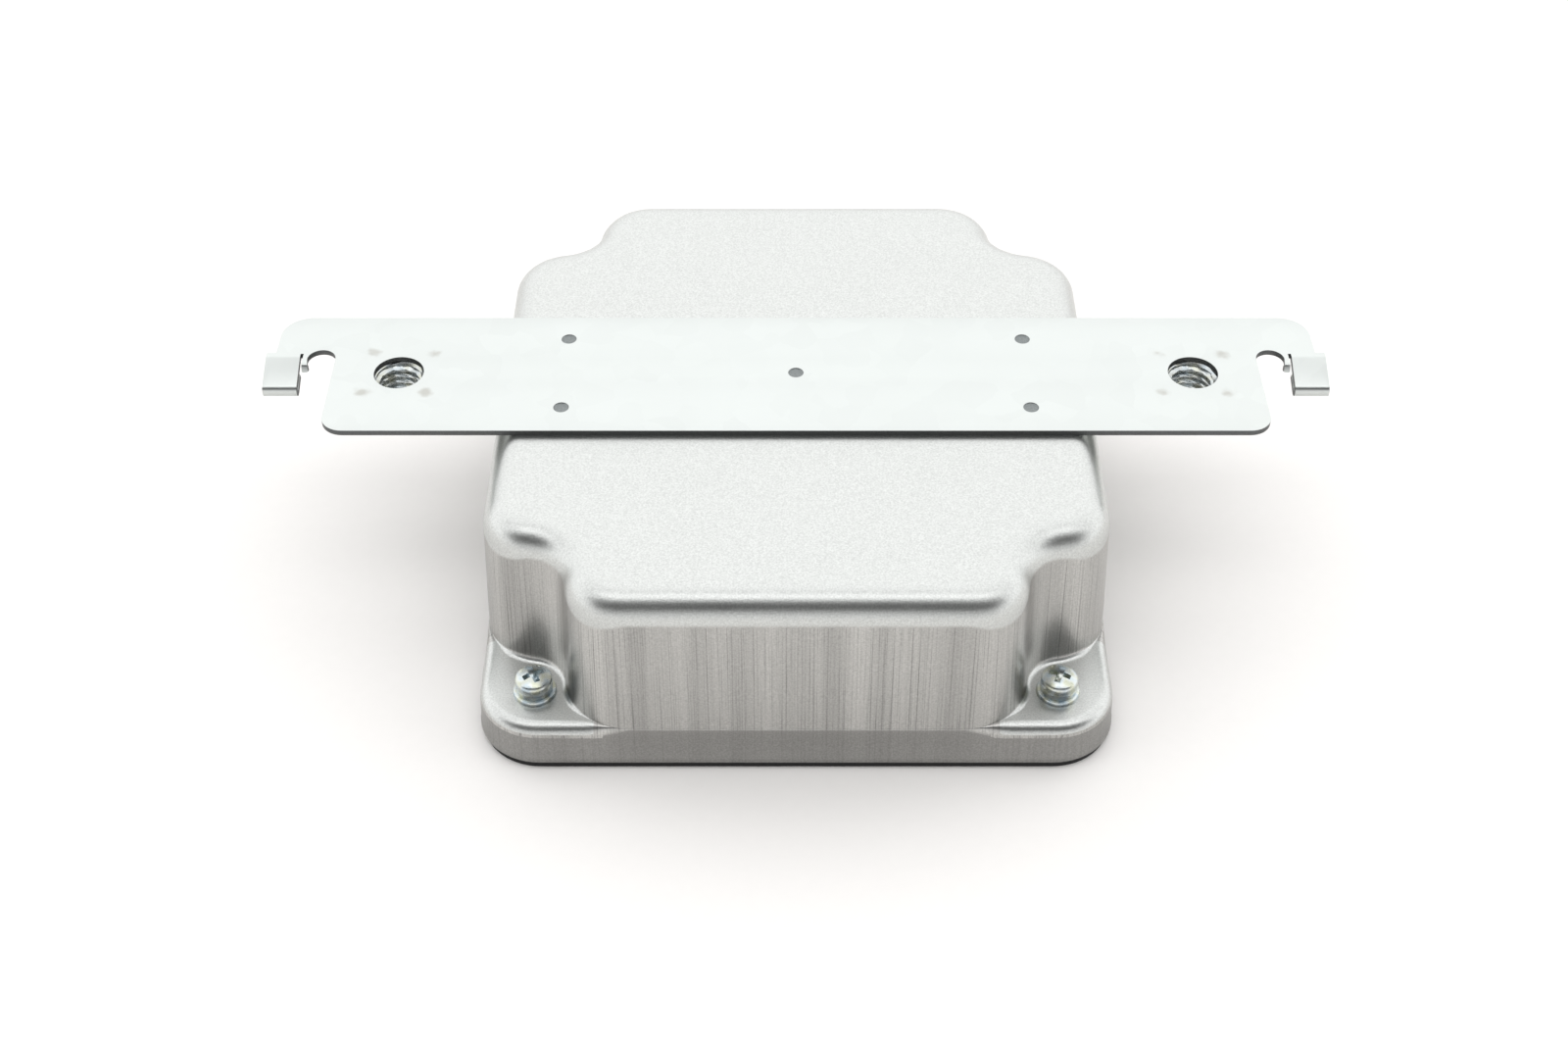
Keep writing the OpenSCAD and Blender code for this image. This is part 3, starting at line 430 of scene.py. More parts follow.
# Filled silicone sheet
SILICONE_PAD = Finish("silicone_thermal_pad", "#c7a266", 0.7, ior=1.43, grain=0.5, grain_depth=0.01)
# Iron powder core in a sprayed coating
COATED_IRON_POWDER = Finish("coated_iron_powder", "#d3c445", 0.5, ior=1.5, grain=0.7, grain_depth=0.02)
# Printed PET shrink sleeve, left plain
SHRINK_SLEEVE = Finish("pet_shrink_sleeve", "#1d2a52", 0.22, ior=1.57, coat=0.2, grain=3.0, grain_depth=0.01)
YELLOW_BOX = Finish("moulded_yellow_polyester", "#cdb936", 0.4, ior=1.55, grain=0.4, grain_depth=0.01)
FUSE_GLASS = Finish("borosilicate_fuse_glass", "#dfe8e8", 0.06, ior=1.47, grain=2.0, grain_depth=0.001)
# Zinc oxide disc in a dipped epoxy coat, slightly uneven
DIPPED_EPOXY = Finish("dipped_blue_epoxy", "#2c4f8f", 0.28, ior=1.55, coat=0.4, grain=2.5, grain_depth=0.06)
GOLD_FLASH = Finish("gold_flashed_brass", "#d6b25a", 0.2, metallic=1.0, grain=0.3, grain_depth=0.001)
# Matt paper roll under the object
PAPER = Finish("matt_white_paper", "#f4f2f0", 0.9, ior=1.4, grain=2.0, grain_depth=0.004, shade=0.01)

# The finish of every CAD node that keeps its own mesh
NODE_FINISHES: dict[Finish, tuple[str, ...]] = {
    PLAIN_ZINC: (
        "corner_posts", "board_standoffs", "spreader_screws", "transistor_clips", "fuse_clips", "socket_nuts",
    ),
    BRIGHT_ZINC: ("board_screws",),
    SOLDER_MASK: ("circuit_board", "control_board"),
    EXTRUDED_ALUMINIUM: ("heat_spreader",),
    BLACK_NYLON: ("power_transistors", "transformer_bobbin", "grid_relay", "control_header", "control_chips"),
    FERRITE: ("transformer_core", "filter_choke_core"),
    ENAMELLED_COPPER: ("transformer_windings", "choke_winding", "filter_choke_windings"),
    SILICONE_PAD: ("insulating_pad",),
    COATED_IRON_POWDER: ("choke_core",),
    SHRINK_SLEEVE: ("input_capacitors",),
    YELLOW_BOX: ("film_capacitors",),
    FUSE_GLASS: ("line_fuse",),
    DIPPED_EPOXY: ("surge_varistor",),
    GOLD_FLASH: ("dc_contacts", "ac_contacts"),
    SEAL_RUBBER: ("base_seal", "socket_seals"),
}


# ---- Mesh helpers -----------------------------------------------------------


@dataclass
class Skin:
    """Rings of points joined into closed skins, in millimetres."""

    points: list[np.ndarray] = field(default_factory=list)
    faces: list[tuple[int, ...]] = field(default_factory=list)
    maps: list[tuple[float, float]] = field(default_factory=list)
    count: int = 0

    def loft(
        self,
        rings: list[np.ndarray],
        caps: bool = True,
        looped: bool = False,
        spread: np.ndarray | None = None,
    ) -> "Skin":
        """Joins closed rings of equal length, one to the next.

        Args:
            rings: the rings, each an array of points.
            caps: closes the first and the last ring with a face.
            looped: joins the last ring to the first instead.
            spread: map coordinates, one for each ring and point, with the first point again
                at the end of each ring.

        Returns:
            This skin.
        """
        n, levels = len(rings[0]), len(rings)
        start = self.count
        self.points += rings
        self.count += n * levels
        for k in range(levels if looped else levels - 1):
            below, above = start + k * n, start + (k + 1) % levels * n
            for i in range(n):
                j = (i + 1) % n
                self.faces.append((below + i, below + j, above + j, above + i))
                if spread is not None:
                    self.maps += [spread[k][i], spread[k][i + 1], spread[k + 1][i + 1], spread[k + 1][i]]
        if caps and not looped:
            for k, way in ((0, -1), (levels - 1, 1)):
                self.faces.append(tuple(range(start + k * n, start + (k + 1) * n))[::way])
                if spread is not None:
                    self.maps += [spread[k][0]] * n
        return self

    def mesh(self, name: str, map_name: str = "") -> bpy.types.Mesh:
        """Makes a mesh of the skins, in metres.

        Args:
            name: the mesh's name.
            map_name: the name of the UV map that gets the map coordinates, if any.

        Returns:
            The mesh, its faces outwards.
        """
        made = bpy.data.meshes.new(name)
        made.from_pydata((np.concatenate(self.points) * MM).tolist(), [], self.faces)
        if map_name:
            layer = made.uv_layers.new(name=map_name)
            layer.data.foreach_set("uv", np.array(self.maps, dtype=np.float32).ravel())
        form = bmesh.new()
        form.from_mesh(made)
        bmesh.ops.recalc_face_normals(form, faces=form.faces)
        form.to_mesh(made)
        form.free()
        return made


def ring_at(flat: np.ndarray, height: float | np.ndarray) -> np.ndarray:
    """Lifts a flat ring of points to a height, or each point to its own height."""
    return np.column_stack((flat, np.broadcast_to(height, len(flat))))


def turned(profile: list[tuple[float, float]], steps: int = ROUND_STEPS) -> list[np.ndarray]:
    """Turns a profile about Z.

    Args:
        profile: radius and height of each point.
        steps: points in each ring.

    Returns:
        One ring for each point of the profile.
    """
    angles = np.arange(steps) * 2 * np.pi / steps
    way = np.column_stack((np.cos(angles), np.sin(angles)))
    return [ring_at(way * radius, height) for radius, height in profile]


def thread_rings(
    crest: float, root: float, pitch: float, low: float, high: float, steps: int
) -> list[np.ndarray]:
    """Rings of a screw thread about Z.

    Args:
        crest: radius at the crests.
        root: radius at the roots.
        pitch: rise of one turn.
        low: height of the lowest ring.
        high: height of the highest ring.
        steps: points in each ring.

    Returns:
        Rings whose radius follows the thread's slopes.
    """
    per_turn = 10
    levels = max(2, round((high - low) / pitch * per_turn))
    angles = np.arange(steps) * 2 * np.pi / steps
    way = np.column_stack((np.cos(angles), np.sin(angles)))
    rings = []
    for height in np.linspace(low, high, levels + 1):
        phase = (height / pitch - angles / (2 * np.pi)) % 1
        slope = np.clip(2.4 * np.abs(2 * phase - 1) - 0.7, 0, 1)
        rings.append(ring_at(way * (root + (crest - root) * slope)[:, None], height))
    return rings


def outline_arc(
    centre: tuple[float, float], radius: float, start: float, end: float, steps: int, hollow: bool = False
) -> tuple[np.ndarray, np.ndarray]:
    """Points along an arc of an outline, without its last point.

    Args:
        centre: the arc's centre.
        radius: the arc's radius.
        start: the angle where it starts, in degrees.
        end: the angle where it ends.
        steps: how many points.
        hollow: the arc's centre lies outside the outline.

    Returns:
        The points, and the outward direction at each.
    """
    angles = np.radians(start + (end - start) * np.arange(steps) / steps)
    way = np.column_stack((np.cos(angles), np.sin(angles)))
    return np.asarray(centre) + radius * way, -way if hollow else way


def smooth_by_angle(mesh: bpy.types.Mesh, limit: float = SHARP) -> None:
    """Shades a mesh smooth, with its edges sharp past an angle.

    Args:
        mesh: the mesh.
        limit: the angle, in radians.
    """
    form = bmesh.new()
    form.from_mesh(mesh)
    for face in form.faces:
        face.smooth = True
    for edge in form.edges:
        edge.smooth = len(edge.link_faces) == 2 and edge.calc_face_angle(math.pi) < limit
    form.to_mesh(mesh)
    form.free()


def new_object(name: str, mesh: bpy.types.Mesh, *finishes: Finish) -> bpy.types.Object:
    """Makes an object of a mesh and dresses it.

    Args:
        name: the piece's name.
        mesh: its mesh, in place.
        finishes: one for each material index.

    Returns:
        The object, linked to the scene.
    """
    made = bpy.data.objects.new(name, mesh)
    bpy.context.scene.collection.objects.link(made)
    for finish in finishes:
        mesh.materials.append(finish.material())
    return made


def bake(piece: bpy.types.Object) -> None:
    """Turns a piece's modifiers into plain mesh.

    Args:
        piece: the piece, which keeps its name.
    """
    graph = bpy.context.evaluated_depsgraph_get()
    solved = piece.evaluated_get(graph)
    mesh = bpy.data.meshes.new_from_object(solved, preserve_all_data_layers=True, depsgraph=graph)
    piece.modifiers.clear()
    piece.data = mesh
    mesh.name = piece.name


def cut(piece: bpy.types.Object, tool: bpy.types.Mesh) -> None:
    """Cuts a closed mesh out of a piece.

    Args:
        piece: what is cut.
        tool: the closed mesh that is taken away.
    """
    cutter = new_object("cutter", tool)
    change = piece.modifiers.new("cut", "BOOLEAN")
    change.operation, change.solver = "DIFFERENCE", "MANIFOLD"
    change.object = cutter
    bake(piece)
    bpy.data.objects.remove(cutter)


def settle(piece: bpy.types.Object, slot: str, *nodes: str) -> None:
    """Shades a finished piece and fixes it to the frame.

    Args:
        piece: the piece, in place.
        slot: the record's material slot; not used.
        nodes: the CAD nodes it stands for.
    """
    smooth_by_angle(piece.data)
    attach(piece, BODY)
    if nodes:
        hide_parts(*nodes)
    LOG.info("%s: %d faces, for %s", piece.name, len(piece.data.polygons), ", ".join(nodes) or "itself")


def eased_copy(node: str, finish: Finish, ease: float) -> bpy.types.Object:
    """Copies a CAD node and eases its sharp edges.

    Args:
        node: the CAD node.
        finish: what the copy is dressed with.
        ease: radius of the eased edges, in millimetres.

    Returns:
        The new piece.
    """
    form = bmesh.new()
    form.from_mesh(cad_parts[node].data)
    bmesh.ops.remove_doubles(form, verts=form.verts, dist=1e-6)
    flat = math.radians(1)
    bmesh.ops.dissolve_limit(form, angle_limit=flat, verts=form.verts, edges=form.edges)
    corners = [e for e in form.edges if len(e.link_faces) == 2 and e.calc_face_angle(0) > 1.3 * SHARP]
    bmesh.ops.bevel(
        form, geom=corners, offset=ease * MM, segments=2, profile=0.5, affect="EDGES", clamp_overlap=True
    )
    mesh = bpy.data.meshes.new(node + "_eased")
    form.to_mesh(mesh)
    form.free()
    return new_object(node + "_eased", mesh, finish)


# ---- Can --------------------------------------------------------------------


@dataclass(frozen=True)
class Outline:
    """A closed outline seen from above, with its outward directions."""

    points: np.ndarray
    outward: np.ndarray

    @classmethod
    def from_corner(cls, parts: list[tuple[np.ndarray, np.ndarray]]) -> "Outline":
        """Mirrors the front right corner into the whole outline.

        Args:
            parts: points and outward directions of the corner, from the side to the front.

        Returns:
            The closed outline.
        """
        whole = []
        for corner in (np.concatenate([p[k] for p in parts]) for k in (0, 1)):
            half = np.concatenate((corner, corner[::-1] * (-1, 1)))
            whole.append(np.concatenate((half, -half)))
        return cls(*whole)

    def inset(self, depth: float | np.ndarray) -> np.ndarray:
        """Gives the points moved inwards by a depth, or each by its own depth."""
        return self.points - self.outward * np.broadcast_to(depth, len(self.points))[:, None]


@dataclass
class Can:
    """The drawn cover: a cross-shaped body with a rolled top, four shelves and a skirt."""

    sheet: float = 0.8
    draft: float = 1.3
    top_roll: float = 4.7
    shelf_height: float = 7.45
    shelf_roll: float = 2.1
    foot_roll: float = 1.1
    skirt_step: float = 0.15
    skirt_corner: float = 9.0
    side_inset: float = 24.4
    front_inset: float = 23.5
    corner: float = 9.5
    notch: float = 7.5
    arc_steps: int = 14
    roll_steps: int = 10
    lip_height: float = 1.0
    lip_depth: float = 0.1
    lip_slope: float = 0.24
    edge_ease: float = 0.15
    drag_above_wall: float = 0.5
    drag_droop: float = 1.5

    def __post_init__(self) -> None:
        """Takes the overall sizes and places from the frame."""
        low, high = (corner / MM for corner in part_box("cover"))
        flare = self.draft + self.skirt_step
        self.half_x, self.half_y = high.x - flare, high.y - flare
        self.edge_z, self.top_z = low.z, high.z
        self.wall_top = self.top_z - self.top_roll
        self.shelf_z = self.edge_z + self.shelf_height

    def lean(self, height: float) -> float:
        """Gives the inset of the leaning wall at a height: below the wall's top it is negative."""
        return -self.draft * (self.wall_top - height) / (self.wall_top - self.edge_z)

    def body_outline(self) -> Outline:
        """Works out the cross-shaped outline at the top of the walls: three arcs turn each corner.

        Returns:
            The outline.
        """
        side = np.array((self.half_x - self.corner, self.side_inset - self.half_y))
        front = np.array((self.half_x - self.front_inset, self.corner - self.half_y))
        reach = self.corner + self.notch
        step = front - side
        out = math.sqrt(reach**2 - (np.linalg.norm(step) / 2) ** 2)
        hollow = (side + front) / 2 + out * np.array((-step[1], step[0])) / np.linalg.norm(step)

        def heading(start: np.ndarray, end: np.ndarray) -> float:
            """Gives the direction from one point to another, in degrees."""
            return math.degrees(math.atan2(end[1] - start[1], end[0] - start[0]))

        n = self.arc_steps
        last = front + (0, -self.corner)
        return Outline.from_corner(
            [
                outline_arc(side, self.corner, 0, heading(side, hollow), n),
                outline_arc(hollow, self.notch, heading(hollow, side), heading(hollow, front), n, True),
                outline_arc(front, self.corner, heading(front, hollow), -90, n),
                (last[None, :], np.array([[0.0, -1.0]])),
            ]
        )

    def skirt_outline(self) -> Outline:
        """Works out the skirt's outline, whose points pair with those of the body's.

        Returns:
            The outline.
        """
        n = self.arc_steps
        middle = np.array((self.half_x - self.skirt_corner, self.skirt_corner - self.half_y))
        side = np.array((self.half_x, self.side_inset - self.half_y))
        front = np.array((self.half_x - self.front_inset, -self.half_y))
        share = np.arange(n)[:, None] / n
        side_run = side + ((self.half_x, middle[1]) - side) * share
        start = np.array((middle[0], -self.half_y))
        front_run = np.concatenate((start + (front - start) * share, front[None, :]))
        return Outline.from_corner(
            [
                (side_run, np.tile((1.0, 0.0), (n, 1))),
                outline_arc(middle, self.skirt_corner, 0, -90, n),
                (front_run, np.tile((0.0, -1.0), (n + 1, 1))),
            ]
        )

    def drag_line(self) -> np.ndarray:
        """Works out where the die's drag begins: it droops on the corners.

        Returns:
            The height at each point of the body's outline.
        """
        n = self.arc_steps
        bulge = np.sin(np.pi * np.arange(n) / n)
        corner = np.concatenate((bulge, -0.2 * bulge, bulge, [0.0]))
        half = np.concatenate((corner, corner[::-1]))
        return self.wall_top + self.drag_above_wall - self.drag_droop * np.concatenate((half, half))

    def rings(self) -> tuple[list[np.ndarray], list[np.ndarray]]:
        """Builds the outer face from the open edge to the top.

        Returns:
            The rings, and for each ring the rise of its points along the wall.
        """
        body, skirt = self.body_outline(), self.skirt_outline()
        step = -self.skirt_step
        roll_z = self.shelf_z - self.shelf_roll
        rings, rises = [], []

        def ring(flat: np.ndarray, height: float | np.ndarray, extra: float | np.ndarray = 0.0) -> None:
            """Adds a ring, its rise moved by an extra amount."""
            rings.append(ring_at(flat, height))
            rises.append(np.broadcast_to(height, len(flat)) + extra)

        lip = self.edge_z + self.lip_height
        half = self.lip_slope / 2
        lower = ((self.edge_z, 0), (lip - half, 0), (lip + half, self.lip_depth), (roll_z, self.lip_depth))
        for height, depth in lower:
            ring(skirt.inset(step + self.lean(height) + depth), height)
        base = step + self.lean(roll_z) + self.lip_depth
        wall = body.inset(self.lean(self.shelf_z))
        gap = np.linalg.norm(skirt.inset(base) - wall, axis=1)
        reach = self.shelf_roll * np.minimum(1, 0.9 * gap / self.shelf_roll)
        undragged = self.top_z * np.clip(gap - 1.2, 0, 1)
        for angle in np.linspace(0, np.pi / 2, self.roll_steps)[1:]:
            ring(
                skirt.inset(base + reach * (1 - math.cos(angle))),
                roll_z + self.shelf_roll * math.sin(angle),
                undragged * min(1.0, 2 * angle),
            )
        gap = np.linalg.norm(skirt.inset(base + reach) - wall, axis=1)
        foot = np.minimum(self.foot_roll, 0.35 * gap)
        for angle in np.linspace(0, np.pi / 2, self.roll_steps - 2):
            ring(
                body.inset(self.lean(self.shelf_z) - foot * (1 - math.sin(angle))),
                self.shelf_z + foot * (1 - math.cos(angle)),
                undragged * math.cos(angle),
            )
        for height in np.linspace(self.shelf_z + 1.5 * self.foot_roll, self.wall_top, 8):
            ring(body.inset(self.lean(height)), height)
        for angle in np.linspace(0, np.pi / 2, self.roll_steps + 3)[1:]:
            height = self.wall_top + self.top_roll * math.sin(angle)
            depth = self.top_roll * (1 - math.cos(angle))
            ring(body.inset(depth), height, self.top_roll * (angle - math.sin(angle)))
        for depth in (0.5, 3.0):
            ring(body.inset(self.top_roll + depth), self.top_z, 3 * self.top_roll)
        return rings, rises

    def rear_wall(self, x: float, height: float) -> Matrix:
        """Gives the frame on the leaning rear wall.

        Args:
            x: place along the wall, in millimetres.
            height: height of the point on the wall.

        Returns:
            A matrix in metres whose Z leaves the wall.
        """
        angle = math.atan(self.draft / (self.wall_top - self.edge_z)) - math.pi / 2
        spot = Vector((x, self.half_y - self.lean(height), height)) * MM
        return Matrix.Translation(spot) @ Matrix.Rotation(angle, 4, "X")

    def build(self, holes: list[bpy.types.Mesh]) -> bpy.types.Object:
        """Builds the cover with its holes.

        Args:
            holes: closed meshes that cut the sheet.

        Returns:
            The finished piece.
        """
        rings, rises = self.rings()
        outline = self.body_outline().points
        sides = np.linalg.norm(np.roll(outline, -1, axis=0) - outline, axis=1)
        along = np.concatenate(([0.0], np.cumsum(sides)))
        start = self.drag_line()
        spread = [np.column_stack((along, np.append(rise - start, (rise - start)[0]))) * MM for rise in rises]
        skin = Skin().loft(rings, caps=False, spread=np.array(spread))
        n = len(outline)
        top = (len(rings) - 1) * n
        skin.faces.append(tuple(range(top, top + n)))
        skin.maps += [tuple(spread[-1][0])] * n
        piece = new_object("can_shell", skin.mesh("can_shell", "draw"), CAN_STEEL)
        self.face_up(piece.data)
        wall = piece.modifiers.new("sheet", "SOLIDIFY")
        wall.thickness, wall.offset, wall.use_even_offset = self.sheet * MM, -1, True
        edge = piece.modifiers.new("edge", "BEVEL")
        edge.width, edge.segments = self.edge_ease * MM, 2
        edge.limit_method, edge.angle_limit = "ANGLE", 2 * SHARP
        bake(piece)
        for hole in holes:
            cut(piece, hole)
        return piece

    @staticmethod
    def face_up(mesh: bpy.types.Mesh) -> None:
        """Turns an open shell's faces outwards, told by its top face."""
        top = max(mesh.polygons, key=lambda p: p.center.z)
        if top.normal.z < 0:
            mesh.flip_normals()


# ---- Bracket ----------------------------------------------------------------


@dataclass
class Bracket:
    """The mounting bracket: one sheet, blanked flat and folded at its two hooks."""

    sheet: float = 1.0
    width: float = 30.4
    reach: float = 28.1
    front_corner: float = 3.8
    arm_reach: float = 10.3
    arm_corner: float = 5.0
    slot_width: float = 4.8
    slot_y: float = 3.7
    hole_reach: float = 16.85
    hole_r: float = 4.2
    weld_x: float = 38.85
    weld_y: float = 9.2
    weld_r: float = 1.3
    tab_width: float = 5.8
    tab_shoulder: float = 1.6
    tab_y: float = 4.6
    tab_root: float = 0.8
    tab_slope: float = 20.0
    tab_length: float = 6.6
    bend_r: float = 0.6
    hem_gap: float = 0.4
    hem_length: float = 3.0
    nub_bend: float = 62.0
    nub_y: float = 2.7
    nub_end: float = 0.9
    edge_ease: float = 0.14
    edge_slope: float = 0.3

    def __post_init__(self) -> None:
        """Takes the bracket's place from the frame and works out the folded lengths."""
        low, high = (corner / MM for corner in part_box("mounting_bracket"))
        self.half_can = high.x - self.tab_shoulder - self.arm_reach - self.reach
        self.middle_y = (high.y + low.y) / 2
        self.under_z = high.z - self.sheet
        self.main_x = self.half_can + self.reach
        self.arm_x = self.main_x + self.arm_reach
        self.tab_x = self.arm_x + self.tab_shoulder - self.tab_width
        self.bend_mid = self.bend_r + self.sheet / 2
        self.hem_mid = (self.hem_gap + self.sheet) / 2
        slope = math.radians(self.tab_slope)
        hem_start = self.tab_length - self.hem_gap / 2 - self.sheet
        self.folds = [
            (self.bend_mid * slope, slope, 4),
            (hem_start, 0.0, 1),
            (self.hem_mid * math.pi, math.pi, 10),
            (self.hem_length, 0.0, 1),
        ]
        self.blank_end = self.tab_y - sum(length for length, _, _ in self.folds)

    def half_outline(self) -> np.ndarray:
        """Works out the flat blank's outline for X above 0.

        Returns:
            Its points, from the front edge to the rear edge.
        """
        half, r = self.width / 2, self.front_corner
        slot = (self.main_x + self.slot_width / 2, self.slot_y)
        slot_r = self.slot_width / 2
        relief_x = self.tab_x - 0.5
        arc_x = self.arm_x - self.arm_corner
        nub_x = slot[0] + slot_r - 0.3
        parts = [
            outline_arc((self.main_x - r, r - half), r, -90, 0, 10)[0],
            outline_arc(slot, slot_r, 180, -8, 22)[0],
            outline_arc((nub_x + 0.35, self.nub_end + 0.35), 0.35, 180, 270, 4)[0],
            outline_arc((relief_x - 0.35, self.nub_end + 0.35), 0.35, 270, 360, 4)[0],
            [(relief_x, self.tab_y + 0.5), (self.tab_x, self.tab_y + 0.5)],
            [(self.tab_x, self.blank_end), (self.tab_x + self.tab_width, self.blank_end)],
            [(self.tab_x + self.tab_width, self.tab_y + self.tab_root)],
            [(self.arm_x, self.tab_y + self.tab_root)],
            outline_arc((arc_x, half - self.arm_corner), self.arm_corner, 0, 90, 12)[0],
            [(arc_x, half)],
        ]
        return np.concatenate([np.asarray(part, dtype=float) for part in parts])

    def blank(self) -> bmesh.types.BMesh:
        """Builds the flat blank with eased edges.

        Returns:
            The blank, its underside at 0, in millimetres.
        """
        half = self.half_outline()
        loops = [np.concatenate((half, half[::-1] * (-1, 1)))]
        angles = np.arange(ROUND_STEPS) * 2 * np.pi / ROUND_STEPS
        circle = np.column_stack((np.cos(angles), np.sin(angles))) * self.hole_r
        loops += [circle + (side * (self.half_can + self.hole_reach), 0) for side in (-1, 1)]
        form = bmesh.new()
        for loop in loops:
            corners = [form.verts.new((x, y, 0)) for x, y in loop]
            for a, b in zip(corners, corners[1:] + corners[:1], strict=True):
                form.edges.new((a, b))
        filled = bmesh.ops.triangle_fill(form, edges=form.edges, use_beauty=True, normal=(0, 0, 1))
        bottom = [g for g in filled["geom"] if isinstance(g, bmesh.types.BMFace)]
        raised = bmesh.ops.extrude_face_region(form, geom=bottom)["geom"]
        lifted = [g for g in raised if isinstance(g, bmesh.types.BMVert)]
        bmesh.ops.translate(form, verts=lifted, vec=(0, 0, self.sheet))
        bmesh.ops.recalc_face_normals(form, faces=form.faces)
        rims = [e for e in form.edges if abs(e.verts[0].co.z - e.verts[1].co.z) < 1e-6]
        rims = [e for e in rims if e.calc_face_angle(0) > SHARP]
        bmesh.ops.bevel(
            form,
            geom=rims,
            offset=self.edge_ease,
            segments=3,
            profile=0.5,
            affect="EDGES",
            clamp_overlap=True,
        )
        return form

    def score(
        self, form: bmesh.types.BMesh, x_range: tuple[float, float], top: float, cuts: list[float]
    ) -> None:
        """Cuts lines across a strip of the blank, so that it can fold there.

        Args:
            form: the blank.
            x_range: the strip's limits, on either side of the middle.
            top: the highest Y that folds.
            cuts: the Y of each line.
        """

        def in_strip(vert: bmesh.types.BMVert) -> bool:
            """Tells whether a point lies in the strip."""
            return x_range[0] < abs(vert.co.x) < x_range[1] and vert.co.y < top

        for y in cuts:
            faces = {f for v in form.verts if in_strip(v) for f in v.link_faces}
            edges = {e for f in faces for e in f.edges}
            verts = {v for f in faces for v in f.verts}
            whole = [*verts, *edges, *faces]
            bmesh.ops.bisect_plane(form, geom=whole, dist=1e-5, plane_co=(0, y, 0), plane_no=(0, 1, 0))

    def fold_point(self, run: float, off: float) -> tuple[float, float]:
        """Gives where a point of the tab goes.

        Args:
            run: its way from the bend, along the flat tab.
            off: its height off the sheet's middle.

        Returns:
            Its Y and Z, Z from the bracket's underside.
        """
        y, z, heading = self.tab_y, self.sheet / 2, 0.0
        for length, turn, _ in self.folds:
            part = min(run, length)
            if turn:
                radius = length / turn
                angle = heading + part / radius
                y -= radius * (math.sin(angle) - math.sin(heading))
                z += radius * (math.cos(angle) - math.cos(heading))
                heading = angle
            else:
                y -= part * math.cos(heading)
                z -= part * math.sin(heading)
            run -= part
            if run <= 0:
                break
        return y - off * math.sin(heading), z + off * math.cos(heading)

    def fold(self, form: bmesh.types.BMesh) -> None:
        """Folds the hooks' tabs and turns the nubs beside them down.

        Args:
            form: the blank.
        """
        form.normal_update()
        # The cut edges get the sheared finish: bare steel with painted shade
        for face in form.faces:
            if abs(face.normal.z) < self.edge_slope:
                face.material_index = SHEARED_SHADE
        run, cuts = 0.0, [self.tab_y]
        for length, _, steps in self.folds:
            cuts += [self.tab_y - run - length * (k + 1) / steps for k in range(steps)]
            run += length
        self.score(form, (self.tab_x - 0.05, self.arm_x + 9), self.tab_y + 0.01, cuts[:-1])
        nub_range = (self.main_x + self.slot_width / 2, self.tab_x - 0.3)
        nub_cuts = [self.nub_y - 0.25 * k for k in range(4)]
        self.score(form, nub_range, self.nub_y + 0.01, nub_cuts)
        bend = math.radians(self.nub_bend)
        radius = 0.75 / bend
        for vert in form.verts:
            x, y, z = vert.co
            if abs(x) > self.tab_x - 0.05 and y < self.tab_y:
                vert.co.y, vert.co.z = self.fold_point(self.tab_y - y, z - self.sheet / 2)
            elif nub_range[0] < abs(x) < self.tab_x and y < self.nub_y:
                run = self.nub_y - y
                angle = min(run / radius, bend)
                rest = max(0.0, run - radius * bend)
                arm = radius + z - self.sheet
                vert.co.y = self.nub_y - arm * math.sin(angle) - rest * math.cos(angle)
                vert.co.z = self.sheet - radius + arm * math.cos(angle) - rest * math.sin(angle)

    def pits(self) -> bpy.types.Mesh:
        """Builds what presses the five spot welds into the sheet.

        Returns:
            One closed mesh for all five.
        """
        spots = [(x, y) for x in (-self.weld_x, self.weld_x) for y in (-self.weld_y, self.weld_y)]
        r = self.weld_r
        profile = [(r + 0.15, 0.2), (r, 0.0), (r - 0.12, -0.14), (r - 0.4, -0.2), (0.3, -0.15)]
        skin = Skin()
        for x, y in [*spots, (0.0, 0.0)]:
            place = (x, y + self.middle_y, self.under_z + self.sheet)
            skin.loft([ring + place for ring in turned(profile, 24)])
        return skin.mesh("pits")

    def build(self) -> bpy.types.Object:
        """Builds the folded bracket with its spot welds.

        Returns:
            The finished piece.
        """
        form = self.blank()
        self.fold(form)
        for vert in form.verts:
            vert.co = (vert.co + Vector((0, self.middle_y, self.under_z))) * MM
        bmesh.ops.recalc_face_normals(form, faces=form.faces)
        mesh = bpy.data.meshes.new("hanging_bracket")
        form.to_mesh(mesh)
        form.free()
        piece = new_object("hanging_bracket", mesh, BRACKET_STEEL, WELD_PIT, SHEARED_EDGE_SHADE)
        cut(piece, self.pits())
        self.mark_pits(piece.data)
        return piece

    def mark_pits(self, mesh: bpy.types.Mesh) -> None:
        """Gives the faces inside the spot welds their own finish.

        Args:
            mesh: the bracket's mesh.
        """
        top = (self.under_z + self.sheet) * MM
        reach = (self.weld_r + 0.05) * MM
        for face in mesh.polygons:
            x, y = abs(face.center.x), abs(face.center.y - self.middle_y * MM)
            near_corner = math.hypot(x - self.weld_x * MM, y - self.weld_y * MM) < reach
            low = min(mesh.vertices[v].co.z for v in face.vertices)
            if (near_corner or math.hypot(x, y) < reach) and top - 0.3 * MM < low < top - 1e-6:
                face.material_index = PIT


# ---- Fasteners --------------------------------------------------------------


class Part(Enum):
    """The three pieces of a captive-washer screw."""

    SCREW = "cover_screws"
    SPRING = "spring_washers"
    FLAT = "flat_washers"


